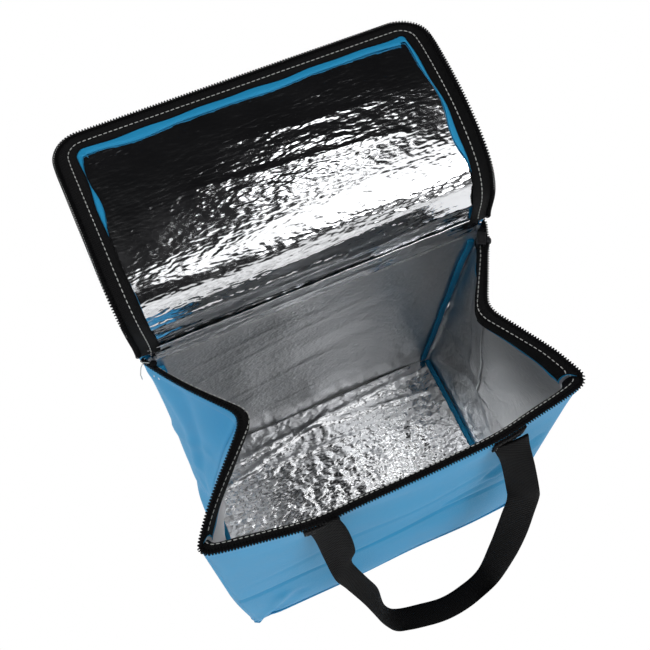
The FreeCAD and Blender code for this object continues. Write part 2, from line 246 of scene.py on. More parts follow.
def how_high(z):
    """A height as a share of the wall's, a little past 1 where the hem turns over the rim."""
    return np.clip(z / WALL_TOP, 0, 1.05)


def points_at(x, y, z):
    """A grid of points from its three places, which may be numbers or grids."""
    return np.stack(np.broadcast_arrays(x, y, z * 1.0), -1)


def side_x(side, z):
    """Where a side's corners stand at that height: the shell leans to the right as it rises."""
    return side * HALF_WIDTH + SHIFT * z / WALL_TOP


def corner_out(side, z):
    """How far a front corner stands out beyond that, pushed out by the foam."""
    high = how_high(z)
    return side * np.where(side < 0, 7.0 * np.sin(math.pi / 2 * np.clip(high * 1.9, 0, 1)), 2.0 * high ** 2)


def front_lean(z):
    """Where the front corners stand at that height."""
    low = FRONT + (CREASE_Y - FRONT) * z / CREASE
    high = CREASE_Y + (RIM_Y - CREASE_Y) * (z - CREASE) / (WALL_TOP - CREASE)
    return np.where(z < CREASE, low, high)


def corner_soft(distance):
    """How far the cloth pulls in at that distance from a sewn corner."""
    return CORNER_SOFT * np.clip(1 - distance / CORNER_REACH, 0, 1) ** 2


def front_belly(t, z):
    """How far the front wall swells outwards: at the rim, where the handles pull, and below the crease."""
    across = np.sin(math.pi * np.clip(t, 0, 1))
    high = how_high(z)
    x = side_x(-1, z) + t * 2 * HALF_WIDTH
    out = 1.2 * high ** 3 + 10.5 * across ** 0.8 * high ** 2.4
    for place in HANDLE_T:
        out = out + 2.5 * np.exp(-((t - place) / 0.09) ** 2 - ((z - 262) / 26) ** 2)
    out = out + 3.5 * across ** 0.5 * np.sin(math.pi * np.clip(z / CREASE, 0, 1))
    out = out + 1.8 * (1 - (2 * t - 1) ** 8) * np.clip(z / 20, 0, 1)
    crease_z = CREASE + 8 + 2.5 * wave(x, 0 * x, 5, 90)
    out = out - 3.6 * across ** 0.3 * np.exp(-((z - crease_z) / 3.0) ** 2)
    out = out + 1.5 * wave(x, z, 3, 55) * across - 1.2 * across * near_line(x, z, (-125, 150), (110, 168), 4)
    out = out + 1.6 * np.clip((z - 236) / 30, 0, 1) * across ** 0.4
    for size, start, end, width in FRONT_PULLS:
        out = out + size * near_line(x, z, start, end, width)
    return out


def front_wall(t, z, depth):
    """A point of the front wall: t runs from 0 at the left to 1 at the right."""
    left, right = side_x(-1, z) + corner_out(-1, z) + depth, side_x(1, z) + corner_out(1, z) - depth
    x = left + t * (right - left)
    soft = corner_soft(np.minimum(t, 1 - t) * (right - left))
    y = front_lean(z) + depth - front_belly(t, z) + soft
    return points_at(x + np.where(t < 0.5, soft, -soft), y, z)


def back_wall(t, z, depth):
    """A point of the back wall: t runs from 0 at the left to 1 at the right."""
    left, right = side_x(-1, z) + depth, side_x(1, z) - depth
    x = left + t * (right - left)
    soft = corner_soft(np.minimum(t, 1 - t) * (right - left))
    puff = 2.0 * (1 - (2 * t - 1) ** 8) * np.sin(math.pi * np.clip(z / WALL_TOP, 0, 1)) ** 0.5
    y = BACK - depth - soft + puff + 1.0 * wave(x, z, 8, 70) * np.sin(math.pi * np.clip(t, 0, 1))
    return points_at(x + np.where(t < 0.5, soft, -soft), y, z)


def side_wall(side):
    """A side's wall function: t runs from -1 at the front corner, through 0 at the fold, to 1 at the back."""
    def wall(t, z, depth):
        s = 1 - np.abs(t)
        rise = np.clip((z - FOLD_STARTS) / (WALL_TOP - FOLD_STARTS), 0, None)
        inwards = FOLD_IN[side] * rise ** FOLD_POWER / (1 - FOLD_ROUND / 2)
        bend = s - np.clip(s - (1 - FOLD_ROUND), 0, None) ** 2 / (2 * FOLD_ROUND)
        corner_y = np.where(t > 0, BACK - depth, front_lean(z) + depth - 1.2 * how_high(z) ** 3)
        up = np.clip((z - CREASE) / (WALL_TOP - CREASE), 0, 1.1)
        fold_y = FOLD_Y_LOW + (FOLD_Y_TOP - FOLD_Y_LOW + (2.5 if side > 0 else 0)) * up
        soft = corner_soft(s * np.abs(fold_y - corner_y))
        y = corner_y + (fold_y - corner_y) * s + np.where(t > 0, -soft, soft)
        puff = 2.4 * (1 - (1 - s) ** 6) * np.clip(z / 25, 0, 1) * (1 - 0.5 * s * up)
        puff = puff + 1.5 * wave(y, z, 20 + side, 46) * (1 - (1 - s) ** 2)
        for size, start, end, width in SIDE_PULLS:
            puff = puff + size * near_line(y, z, start, end, width)
        stand = corner_out(side, z) * np.where(t < 0, 1 - s, 0)
        stand = stand + (2.6 * how_high(z) ** 4 * np.clip(3 * s, 0, 1) if side > 0 else 0)
        x = side_x(side, z) + stand - side * (depth + inwards * bend + soft - puff)
        return points_at(x, y, z)
    return wall


LEFT_WALL, RIGHT_WALL = side_wall(-1), side_wall(1)


def base_panel(t, v, depth):
    """A point of the base: t across from the left, v from 0 at the front to 1 at the back."""
    x = -HALF_WIDTH + depth + t * 2 * (HALF_WIDTH - depth)
    y = FRONT + depth + v * (BACK - FRONT - 2 * depth)
    return np.stack(np.broadcast_arrays(x, y, depth + 0 * x), -1)


class Signal:
    """A shader socket that takes part in arithmetic: an expression on signals adds the nodes for it."""

    def __init__(self, tree, socket):
        self.tree, self.socket = tree, socket

    def make(self, kind, inputs, out=0, stops=(), **settings):
        """Any node: its settings, its ramp's stops and its inputs by name or number, as values or signals."""
        node = self.tree.nodes.new("ShaderNode" + kind)
        for name, value in settings.items():
            setattr(node, name, value)
        for place, (position, shade) in enumerate(stops):
            stop = node.color_ramp.elements[place] if place < 2 else node.color_ramp.elements.new(position)
            stop.position, stop.color = position, (*shade, 1)
        for key, value in dict(inputs).items():
            if isinstance(value, Signal):
                self.tree.links.new(value.socket, node.inputs[key])
            else:
                node.inputs[key].default_value = value
        return Signal(self.tree, node.outputs[out])

    def maths(self, operation, *values):
        return self.make("Math", enumerate(values), operation=operation)

    def __add__(self, other):
        return self.maths("ADD", self, other)

    def __mul__(self, other):
        return self.maths("MULTIPLY", self, other)

    __radd__ = __add__


def start_material(name):
    """A new material, and the signal of where a point lies on the flat cloth, in metres."""
    material = bpy.data.materials.new(name)
    material.use_nodes = True
    tree = material.node_tree
    cloth = Signal(tree, None).make("Attribute", {}, out="Vector", attribute_name="cloth")
    return material, cloth


def grain(at, size, detail=2.0, stretch=(1, 1, 1), kind="FBM"):
    """Noise with specks about that many millimetres across, drawn out by the stretch in each direction."""
    scale = tuple(1000 / size / s for s in stretch)
    place = at.make("VectorMath", {0: at, 1: scale}, operation="MULTIPLY")
    return at.make("TexNoise", {"Vector": place, "Scale": 1.0, "Detail": detail}, noise_type=kind)


def weave(at, pitch):
    """The over and under of a plain weave with that many millimetres between threads."""
    apart = [at.make("SeparateXYZ", {0: at}, out=axis) for axis in (0, 1)]
    across, along = (place.maths("SINE", place * (1000 * math.pi / pitch)) for place in apart)
    return across * along


def mix_colours(share, first, second):
    """A colour that goes from the first to the second with the share."""
    return share.make("Mix", {0: share, 6: (*first, 1), 7: (*second, 1)}, out=2, data_type="RGBA")


def dress(material, sockets, height, depth):
    """Sets the material's shader, with a height in units of depth, in millimetres, for its surface."""
    shader = material.node_tree.nodes["Principled BSDF"]
    for name, value in sockets.items():
        if isinstance(value, Signal):
            material.node_tree.links.new(value.socket, shader.inputs[name])
        else:
            shader.inputs[name].default_value = value
    bump = height.make("Bump", {"Height": height, "Distance": depth / 1000, "Strength": 1.0})
    material.node_tree.links.new(bump.socket, shader.inputs["Normal"])
    return material


def coated_polyester():
    """Sky-blue woven cloth with a smooth coating: a fine weave, faint creases and a soft gloss."""
    material, cloth = start_material("coated_polyester")
    patches = grain(cloth, 45, 3)
    creases = grain(cloth, 16, 4, kind="RIDGED_MULTIFRACTAL")
    shade = mix_colours(patches, (0.014, 0.29, 0.58), (0.026, 0.36, 0.68))
    height = creases * 0.35 + weave(cloth, 0.55) * 0.10 + grain(cloth, 5, 3) * 0.25
    sockets = {"Base Color": shade, "Roughness": 0.42 + patches * 0.14, "Specular IOR Level": 0.22}
    return dress(material, sockets, height, 0.35)


BLUE_CLOTH = coated_polyester()


def piece(name, points, faces, material, slot, flat=None, smooth=True):
    """A new mesh from points in millimetres, with each point's place on the flat cloth."""
    points = np.asarray(points, float).reshape(-1, 3)
    mesh = bpy.data.meshes.new(name)
    mesh.from_pydata((points / 1000).tolist(), [], faces)
    mesh.update()
    mesh.shade_smooth() if smooth else mesh.shade_flat()
    mesh.materials.append(material)
    place = mesh.attributes.new("cloth", "FLOAT_VECTOR", "POINT")
    place.data.foreach_set("vector", (points if flat is None else np.asarray(flat)).ravel() / 1000)
    made = bpy.data.objects.new(name, mesh)
    bpy.context.scene.collection.objects.link(made)
    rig.slot(made, slot)
    return made


def grid_faces(rows, columns, first=0):
    """The quads of a grid of points."""
    index = np.arange(rows * columns).reshape(rows, columns) + first
    quads = np.stack([index[:-1, :-1], index[:-1, 1:], index[1:, 1:], index[1:, :-1]], -1)
    return quads.reshape(-1, 4).tolist()


def laid_flat(grid):
    """Where each point of a grid would lie if its sheet were laid flat, in millimetres."""
    flat = np.zeros_like(grid)
    flat[:, 1:, 0] = np.cumsum(np.linalg.norm(np.diff(grid, axis=1), axis=-1), axis=1)
    flat[1:, :, 1] = np.cumsum(np.linalg.norm(np.diff(grid, axis=0), axis=-1), axis=0)
    return flat


def cut_size(grid):
    """The size a sheet was cut to, as its width and length, and its area: all in metres."""
    flat = laid_flat(grid)
    width, length = float(flat[:, -1, 0].max()) / 1000, float(flat[-1, :, 1].max()) / 1000
    across, along = np.diff(grid, axis=1)[:-1], np.diff(grid, axis=0)[:, :-1]
    area = float(np.linalg.norm(np.cross(across, along), axis=-1).sum()) / 1e6
    return (width, length), min(area, width * length)


def sheet(name, grid, thickness, material, slot):
    """A sheet of that thickness, in millimetres, through a grid of points."""
    rows, columns = grid.shape[:2]
    made = piece(name, grid, grid_faces(rows, columns), material, slot, laid_flat(grid).reshape(-1, 3))
    solid = made.modifiers.new("thickness", "SOLIDIFY")
    solid.thickness, solid.offset = thickness / 1000, 0
    return made


def spread(start, end, step):
    """Evenly spaced values from start to end, about a step apart."""
    return np.linspace(start, end, max(2, round(abs(end - start) / step) + 1))


def ride_on(body):
    """A way to join a piece to one body."""
    return lambda made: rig.ride(made, body)


def bend_over(first, second, start, end):
    """A way to join a piece that bends from one body to another, between two points in millimetres."""
    from_place, to_place = (tuple(p / 1000 for p in place) for place in (start, end))
    return lambda made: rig.blend(made, first, second, from_place, to_place)


def side_bend(name, end):
    """How the upper half of a side bends: from its corner, which stays, to its fold, which swings."""
    if end > 0:
        return bend_over("shell", name + "_fold_back", (0, BACK, CREASE), (0, FOLD_Y_TOP, CREASE))
    slope = np.array([WALL_TOP - CREASE, CREASE_Y - RIM_Y])
    across = slope / np.linalg.norm(slope)
    reach = (FOLD_Y_TOP - CREASE_Y) * across[0] + (WALL_TOP - CREASE) * across[1]
    far = (0, CREASE_Y + reach * across[0], CREASE + reach * across[1])
    return bend_over("front_wall", name + "_fold_front", (0, CREASE_Y, CREASE), far)


BEND_HALF = 10.0
JOIN_FRONT = bend_over("shell", "front_wall", (0, CREASE_Y, CREASE - BEND_HALF),
                        (0, CREASE_Y, CREASE + BEND_HALF))
STEP = 4.0
OVERLAP = 4.0
WALL_PIECES = {
    "front": (front_wall, (0, 1), (0, WALL_TOP), JOIN_FRONT, ["front_lower", "front_upper"]),
    "back": (back_wall, (0, 1), (0, WALL_TOP), ride_on("shell"), ["back"]),
    "left_lower": (LEFT_WALL, (-1, 1), (0, CREASE + OVERLAP), ride_on("shell"), ["left_lower"]),
    "right_lower": (RIGHT_WALL, (-1, 1), (0, CREASE + OVERLAP), ride_on("shell"), ["right_lower"]),
}
for side_name, side_function in (("left", LEFT_WALL), ("right", RIGHT_WALL)):
    for end_name, end_sign in (("front", -1), ("back", 1)):
        WALL_PIECES[f"{side_name}_{end_name}"] = (
            side_function, (0, end_sign), (CREASE, WALL_TOP), side_bend(side_name, end_sign),
            [f"{side_name}_{end_name}_upper"])
PANEL_LENGTH = {"front": 280, "back": 280, "left_lower": 180, "right_lower": 180}
HALF_SIDE_LENGTH = 90


def panel_length(name):
    """How long a wall's piece is along its rim, in millimetres."""
    return PANEL_LENGTH.get(name, HALF_SIDE_LENGTH)


def wall_grid(name, depth, step=STEP, top=0.0):
    """The grid of points of one wall's piece. The depth is a number, or a function of t and height."""
    wall, (t0, t1), (z0, z1) = WALL_PIECES[name][:3]
    t = spread(t0, t1, step / panel_length(name))
    z = spread(max(z0, 0.5), z1 - top, step)
    z, t = np.meshgrid(z, t, indexing="ij")
    return wall(t, z, depth(t, z) if callable(depth) else depth)


for wall_name, wall_piece in WALL_PIECES.items():
    skin_grid = wall_grid(wall_name, CLOTH / 2)
    skin = sheet(wall_name + "_shell", skin_grid, CLOTH, BLUE_CLOTH, "shell_fabric")
    skin_flat, skin_area = cut_size(skin_grid)
    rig.sheet(skin, flat=skin_flat, held="stretched", area=skin_area)
    wall_piece[3](skin)
    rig.replaces(skin, *[node + "_fabric" for node in wall_piece[4]])
    if wall_name.count("_") and "lower" not in wall_name:
        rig.replaces(skin, wall_name + "_fold")

BASE_T, BASE_V = np.meshgrid(spread(0, 1, STEP / 280), spread(0, 1, STEP / 180))
skin = sheet("base_shell", base_panel(BASE_T, BASE_V, CLOTH / 2), CLOTH, BLUE_CLOTH, "shell_fabric")
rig.ride(skin, "shell")
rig.replaces(skin, "base_fabric")

# ---------------------------------------------------------------------------
# Seams. Where two walls meet, the cloth's edges are folded into a narrow ridge and top-stitched with blue
# thread. There is one ridge up each corner and one round the foot.


def frames(points, across):
    """Unit vectors along a line of points, across it and up from it."""
    along = np.gradient(points, axis=0)
    along /= np.linalg.norm(along, axis=1, keepdims=True)
    across = np.broadcast_to(across, points.shape)
    across = across - (across * along).sum(1, keepdims=True) * along
    across = across / np.linalg.norm(across, axis=1, keepdims=True)
    return along, across, np.cross(along, across)


def bar(points, across, wide, tall, sides=8):
    """A bar along a line of points. Its oval section has half sizes wide and tall, one or one per point."""
    points = np.asarray(points, float)
    _, a, b = frames(points, across)
    wide = np.broadcast_to(wide, len(points))[:, None, None]
    tall = np.broadcast_to(tall, len(points))[:, None, None]
    turn = np.linspace(0, 2 * math.pi, sides, endpoint=False)[None, :, None]
    rings = points[:, None] + a[:, None] * np.cos(turn) * wide + b[:, None] * np.sin(turn) * tall
    faces = []
    for ring in range(len(points) - 1):
        for k in range(sides):
            near, far, after = ring * sides, (ring + 1) * sides, (k + 1) % sides
            faces.append((near + k, near + after, far + after, far + k))
    faces.append(tuple(range(sides))[::-1])
    faces.append(tuple((len(points) - 1) * sides + k for k in range(sides)))
    return rings.reshape(-1, 3), faces


def joined(parts):
    """Several meshes as one list of points and one of faces."""
    points, faces, count = [], [], 0
    for part_points, part_faces in parts:
        points.append(part_points)
        faces += [tuple(i + count for i in face) for face in part_faces]
        count += len(part_points)
    return np.concatenate(points), faces


def resampled(points, step):
    """The same line with its points that far apart, and how far along it each one is."""
    points = np.asarray(points, float)
    run = np.concatenate([[0], np.cumsum(np.linalg.norm(np.diff(points, axis=0), axis=1))])
    at = spread(0, run[-1], step)
    return np.stack([np.interp(at, run, points[:, k]) for k in range(3)], 1), at


def carried(values, run):
    """One direction for each point of a line, from fewer of them, or from one for the whole line."""
    share = np.linspace(0, 1, len(values))
    return np.stack([np.interp(run / run[-1], share, values[:, k]) for k in range(3)], 1)


STITCH, STITCH_GAP, THREAD = 2.6, 1.2, 0.34


def stitches(line, across):
    """A row of stitches along a line: each is a short thread that dips into the cloth at both ends."""
    fine, run = resampled(line, 0.4)
    fine_across = carried(np.broadcast_to(across, np.asarray(line).shape), run)
    parts = []
    for start in np.arange(0.5, run[-1] - STITCH, STITCH + STITCH_GAP):
        at = start + STITCH * np.array([0, 0.2, 0.5, 0.8, 1])
        middle = np.stack([np.interp(at, run, fine[:, k]) for k in range(3)], 1)
        side = np.stack([np.interp(at, run, fine_across[:, k]) for k in range(3)], 1)
        parts.append(bar(middle, side, THREAD * np.array([0.4, 1, 1, 1, 0.4]), THREAD * 0.8, 5))
    return joined(parts)


def thread_material(name, colour):
    """Twisted sewing thread."""
    material, cloth = start_material(name)
    twist = grain(cloth, 0.5, 1, (3, 1, 1))
    shade = mix_colours(twist, tuple(c * 0.75 for c in colour), colour)
    return dress(material, {"Base Color": shade, "Roughness": 0.6, "Sheen Weight": 0.2}, twist, 0.1)


BLUE_THREAD = thread_material("blue_thread", (0.09, 0.36, 0.62))
SEAM_WIDE, SEAM_TALL = 2.2, 0.9
SEAM_LIFT = -0.6


def corner_seam(name, wall, t, inwards, join):
    """The ridge up one corner, on the wall that it is folded on to, and its row of stitches."""
    z = spread(2, WALL_TOP - 2, 4)
    line = wall(np.full_like(z, t), z, SEAM_LIFT)
    line[:, 0] += inwards * SEAM_WIDE
    ridge = piece(name + "_seam", *bar(line, (1, 0, 0), SEAM_WIDE, SEAM_TALL, 10), BLUE_CLOTH, "shell_fabric")
    sewn = line + np.array([inwards * 1.6, 0, 0])
    sewn[:, 1] += -1.0 if wall is front_wall else 1.0
    row = piece(name + "_seam_stitches", *stitches(sewn, (1, 0, 0)), BLUE_THREAD, "thread")
    for made in (ridge, row):
        join(made)


corner_seam("front_left", front_wall, 0.0, 1, JOIN_FRONT)
corner_seam("front_right", front_wall, 1.0, -1, JOIN_FRONT)
corner_seam("back_left", back_wall, 0.0, 1, ride_on("shell"))
corner_seam("back_right", back_wall, 1.0, -1, ride_on("shell"))

FOOT_Z, FOOT_IN = 3.4, 0.9
foot_lines = [
    front_wall(spread(0, 1, 0.02), np.full(51, FOOT_Z), -FOOT_IN + 0.4),
    RIGHT_WALL(spread(-1, 1, 0.04), np.full(51, FOOT_Z), -FOOT_IN + 0.4),
    back_wall(spread(1, 0, 0.02), np.full(51, FOOT_Z), -FOOT_IN + 0.4),
    LEFT_WALL(spread(1, -1, 0.04), np.full(51, FOOT_Z), -FOOT_IN + 0.4),
]
foot = piece("foot_seam", *joined([bar(line, (0, 0, 1), 2.2, 0.8, 10) for line in foot_lines]), BLUE_CLOTH,
             "shell_fabric")
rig.ride(foot, "shell")
foot_rows = [line + np.array([0, 0, 3.2]) for line in foot_lines]
foot_stitches = joined([stitches(line, (0, 0, 1)) for line in foot_rows])
foot_sewn = piece("foot_seam_stitches", *foot_stitches, BLUE_THREAD, "thread")
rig.ride(foot_sewn, "shell")

# ---------------------------------------------------------------------------
# Padding. A sheet of white closed-cell foam lies between the shell and the lining of every wall, with a
# stiff plastic board on the base's sheet. Only their cut edges could ever be seen.

FOAM, FOIL, BOARD = 2.0, 0.35, 1.2
FOAM_DEPTH, LINING_DEPTH = CLOTH + FOAM / 2 + 0.6, 4.4


def closed_cell_foam():
    """White foam with a skin of tiny pores."""
    material, cloth = start_material("closed_cell_foam")
    pores = grain(cloth, 1.2, 3)
    shade = mix_colours(pores, (0.80, 0.80, 0.78), (0.90, 0.90, 0.88))
    return dress(material, {"Base Color": shade, "Roughness": 0.85}, pores, 0.3)


def stiff_board():
    """Milky sheet plastic with a fine haircell grain."""
    material, cloth = start_material("stiff_board")
    hair = grain(cloth, 0.8, 2, (2, 1, 1))
    shade = mix_colours(hair, (0.78, 0.78, 0.76), (0.86, 0.86, 0.85))
    return dress(material, {"Base Color": shade, "Roughness": 0.5 + hair * 0.2}, hair, 0.1)


FOAM_MATERIAL, BOARD_MATERIAL = closed_cell_foam(), stiff_board()
for wall_name, wall_piece in WALL_PIECES.items():
    pad = sheet(wall_name + "_padding", wall_grid(wall_name, FOAM_DEPTH), FOAM, FOAM_MATERIAL, "foam")
    wall_piece[3](pad)
    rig.replaces(pad, *[node + "_foam" for node in wall_piece[4]])
    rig.padded(pad, fill=0.5)

COARSE_T, COARSE_V = np.meshgrid(spread(0, 1, 0.05), spread(0, 1, 0.08))
pad = sheet("base_padding", base_panel(COARSE_T, COARSE_V, CLOTH + 1.2), 2.2, FOAM_MATERIAL, "foam")
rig.ride(pad, "shell")
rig.replaces(pad, "base_foam")
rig.padded(pad, fill=0.5)
board = sheet("base_stiffener", base_panel(COARSE_T, COARSE_V, 3.6), BOARD, BOARD_MATERIAL, "board")
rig.ride(board, "shell")
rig.replaces(board, "base_board")

# ---------------------------------------------------------------------------
# Lining. Aluminium-coated film, laminated to the foam and crushed into a fine pebbled grain. It is satin on
# the walls, deeply crinkled on the base and the lid, and it has long sharp creases where it was folded.


def crumple(a, b, seed, cell):
    """The height of a crushed film, from 0 to 1: flat facets about one cell across that meet in creases."""
    near = np.full(np.broadcast(a, b).shape, 9.0)
    home_a, home_b = np.floor(a / cell), np.floor(b / cell)
    for da in (-1, 0, 1):
        for db in (-1, 0, 1):
            cell_a, cell_b = home_a + da, home_b + db
            mixed = np.sin(cell_a * 127.1 + cell_b * 311.7 + seed * 17.3) * 43758.5453
            first, second, third = (np.mod(mixed * k, 1.0) for k in (1.0, 1.7, 2.3))
            off_a, off_b = cell_a + first - a / cell, cell_b + second - b / cell
            turn = third * math.pi
            u = off_a * np.cos(turn) + off_b * np.sin(turn)
            v = off_b * np.cos(turn) - off_a * np.sin(turn)
            near = np.minimum(near, np.abs(u) + np.abs(v))
    return np.clip(near, 0, 1.2) / 1.2


def foil_material(name, ripple, stretch, depth, shine, tint=(0.84, 0.85, 0.87)):
    """Crushed bright film: ripples that many millimetres apart, drawn out by the stretch."""
    material, cloth = start_material(name)
    ripples = grain(cloth, ripple, 1.0, stretch)
    sharp = grain(cloth, ripple * 2.2, 1.5, (stretch[0] * 0.8, stretch[1], 1), "RIDGED_MULTIFRACTAL")
    worn = grain(cloth, 30, 3)
    height = ripples + sharp * 0.35
    shade = mix_colours(worn, tuple(c * 0.90 for c in tint), tint)
    sockets = {"Base Color": shade, "Metallic": 1.0, "Roughness": shine + worn * 0.08}
    return dress(material, sockets, height, depth)


# The walls' and the base's film take a darker tint than the lid's. It is one film, and the darker tint is painted shade
# that dims their reflections.
SHADED_WALL_FOIL = foil_material("wall_lining_film", 2.6, (1.5, 1, 1), 0.7, 0.28, (0.76, 0.77, 0.785))
SHADED_BASE_FOIL = foil_material("base_lining_film", 4.2, (1.7, 1, 1), 0.8, 0.14, (0.74, 0.75, 0.765))
LID_FOIL = foil_material("lid_lining_film", 3.2, (2.4, 1, 1), 0.55, 0.10)
FOIL_STEP = 3.0
WALL_CREASES = {
    "back": [((-118, 226), (-20, 246), 0.8), ((-110, 196), (60, 232), 0.7), ((-90, 120), (20, 142), 0.7),
             ((-60, 60), (70, 92), 0.6), ((40, 180), (120, 214), 0.6)],
    "front": [((-80, 180), (40, 150), 0.8)],
}


def film_depth(name):
    """How deep a wall's film lies: crushed a little all over, with its long creases."""
    def depth(t, z):
        along = t * panel_length(name)
        seed = len(name) + ord(name[0])
        x = along - HALF_WIDTH
        deep = LINING_DEPTH + 0.12 * wave(x, z, seed, 9) + 0.35 * wave(x, z, seed, 25)
        for start, end, size in WALL_CREASES.get(name, []):
            deep = deep + size * near_line(x, z, start, end, 1.6)
        return deep
    return depth


for wall_name, wall_piece in WALL_PIECES.items():
    film = sheet(wall_name + "_lining", wall_grid(wall_name, film_depth(wall_name), FOIL_STEP, 1.0), FOIL,
                 SHADED_WALL_FOIL, "foil")
    wall_piece[3](film)
    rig.replaces(film, *[node + "_foil" for node in wall_piece[4]])

FILM_T, FILM_V = np.meshgrid(spread(0, 1, 2.0 / 270), spread(0, 1, 2.0 / 170))
film_x, film_y = (FILM_T - 0.5) * 270, (FILM_V - 0.5) * 170
film_rise = 0.9 * crumple(film_x / 1.5, film_y, 4, 8) + 0.7 * wave(film_x, film_y, 6, 40)
film_rise = film_rise + 1.6 * near_line(film_x, film_y, (-130, 60), (130, 76), 3)
for line_start, line_end in (((-120, 40), (10, 72)), ((-20, 66), (120, 50)), ((-70, 44), (20, 40))):
    film_rise = film_rise + 1.4 * near_line(film_x, film_y, line_start, line_end, 1.8)
film_grid = base_panel(FILM_T, FILM_V, 4.7)
film_grid[..., 2] += np.maximum(film_rise, 0)
film = sheet("base_lining", film_grid, FOIL, SHADED_BASE_FOIL, "foil")
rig.ride(film, "shell")
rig.replaces(film, "base_foil")

BINDING_WIDE, BINDING_TALL = 3.6, 1.2
binding_z = spread(8, WALL_TOP - 14, 5)
binding_lines = {
    "back_right": back_wall(np.full_like(binding_z, 0.985), binding_z, LINING_DEPTH + 1.4),
    "back_left": back_wall(np.full_like(binding_z, 0.015), binding_z, LINING_DEPTH + 1.4),
}
for binding_name, line in binding_lines.items():
    line = line + 0.5 * wave(line[:, 2:], 0, 31, 30) * np.array([1.0, 0, 0])
    made = piece(binding_name + "_binding", *bar(line, (1, 0, 0), BINDING_WIDE, BINDING_TALL, 10), BLUE_CLOTH,
                 "shell_fabric")
    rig.ride(made, "shell")
binding_y = spread(FRONT + 8, BACK - 8, 5)
floor_lines = [np.stack([np.full_like(binding_y, side * (HALF_WIDTH - 6)), binding_y,
                         7.0 + 0.5 * wave(binding_y, 0, 33, 30)], 1) for side in (-1, 1)]
floor_bars = joined([bar(line, (1, 0, 0), 2.4, 1.2, 10) for line in floor_lines])
made = piece("base_side_bindings", *floor_bars, BLUE_CLOTH, "shell_fabric")
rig.ride(made, "shell")

# ---------------------------------------------------------------------------
# Rim. The shell's cloth turns over the top of the front and the sides. One half of the zip is sewn on it:
# a coil of black nylon filament at the outer edge, on a woven black tape that folds down inside.

COIL_PITCH, COIL_WIDE, COIL_HIGH, FILAMENT = 2.1, 1.75, 1.35, 0.48
RIM_COIL = (-0.2, WALL_TOP + 3.4)
TAPE_THICK = 0.5
FRONT_TAPE_PROFILE = [(-0.6, WALL_TOP + 2.6), (1.8, WALL_TOP + 3.0), (4.2, WALL_TOP + 0.8),
                      (5.8, WALL_TOP - 4), (6.4, WALL_TOP - 9), (6.5, WALL_TOP - 13)]
FRONT_HEM_PROFILE = [(0.0, WALL_TOP - 9), (-0.5, WALL_TOP - 7), (-0.6, WALL_TOP), (0.6, WALL_TOP + 1.8),
                     (2.2, WALL_TOP + 2.0), (4.0, WALL_TOP - 0.6), (5.2, WALL_TOP - 5), (5.7, WALL_TOP - 12),
                     (5.6, WALL_TOP - 16)]
FRONT_TAPE_ROW = (4.0, WALL_TOP + 1.9)
HEM_PROFILE = [(0.0, WALL_TOP - 9), (-0.5, WALL_TOP - 7), (-0.6, WALL_TOP), (0.6, WALL_TOP + 2.0),
               (3.0, WALL_TOP + 2.4), (6.5, WALL_TOP + 0.4), (8.2, WALL_TOP - 5), (8.6, WALL_TOP - 12),
               (8.2, WALL_TOP - 15)]
TAPE_PROFILE = [(-0.6, WALL_TOP + 2.6), (2.6, WALL_TOP + 3.1), (6.2, WALL_TOP + 1.8), (8.4, WALL_TOP - 2.5),
                (9.4, WALL_TOP - 8), (9.5, WALL_TOP - 12)]
TAPE_ROW = (7.6, WALL_TOP + 0.9)


def zip_tape():
    """Black polyester tape: a herringbone weave with fine ribs along it."""
    material, cloth = start_material("zip_tape_cloth")
    height = weave(cloth, 0.8) + grain(cloth, 0.6, 2, (3, 1, 1)) * 0.6
    shade = mix_colours(grain(cloth, 3, 3), (0.004, 0.004, 0.0045), (0.010, 0.010, 0.011))
    return dress(material, {"Base Color": shade, "Roughness": 0.62, "Specular IOR Level": 0.12}, height, 0.3)


def nylon():
    """Black nylon filament with a dull gloss."""
    material, cloth = start_material("nylon_coil")
    specks = grain(cloth, 0.4, 2)
    shade = mix_colours(specks, (0.003, 0.003, 0.0035), (0.009, 0.009, 0.010))
    return dress(material, {"Base Color": shade, "Roughness": 0.6, "Specular IOR Level": 0.08}, specks, 0.05)


TAPE_CLOTH, NYLON = zip_tape(), nylon()
PALE_THREAD = thread_material("pale_thread", (0.66, 0.68, 0.66))
RIM = {
    "front": ["front_rim_tape", "front_rim_coil"], "left_back": ["left_rim_tape", "left_rim_coil"],
    "left_front": [], "right_back": ["right_rim_tape", "right_rim_coil"], "right_front": [],
}


def coil(line, across):
    """A filament wound along a line of points, round a core: across is one direction, or one per point."""
    fine, run = resampled(line, COIL_PITCH / 12)
    fine_across = carried(np.broadcast_to(np.asarray(across, float), np.asarray(line).shape), run)
    _, a, b = frames(fine, fine_across)
    turn = 2 * math.pi * run / COIL_PITCH
    wound = fine + a * (COIL_WIDE * np.cos(turn))[:, None] + b * (COIL_HIGH * np.sin(turn))[:, None]
    core = bar(fine[::6], fine_across[::6], COIL_WIDE * 0.55, COIL_HIGH * 0.6)
    return joined([bar(wound, fine_across, FILAMENT, FILAMENT, 6), core])


def rim_line(name, depth, z):
    """A line along one wall's rim."""
    wall, (t0, t1) = WALL_PIECES[name][:2]
    t = spread(t0, t1, 2.0 / panel_length(name))
    return wall(t, np.full_like(t, z), depth)


def rim_strip(name, profile, sway=0.0):
    """The grid of a strip along one wall's rim, with a profile of depths and heights across it."""
    wall, (t0, t1) = WALL_PIECES[name][:2]
    t = spread(t0, t1, 2.5 / panel_length(name))
    depth, z = np.array(profile).T
    share = np.linspace(0, 1, len(depth))
    fine = np.linspace(0, 1, 17)
    depth, z = np.interp(fine, share, depth), np.interp(fine, share, z)
    t, depth = np.meshgrid(t, depth)
    _, z = np.meshgrid(t[0], z)
    along = t * panel_length(name)
    swing = sway * wave(along, z * 0.4, len(name), 26) * fine[:, None] ** 2
    return wall(t, z, depth + swing)


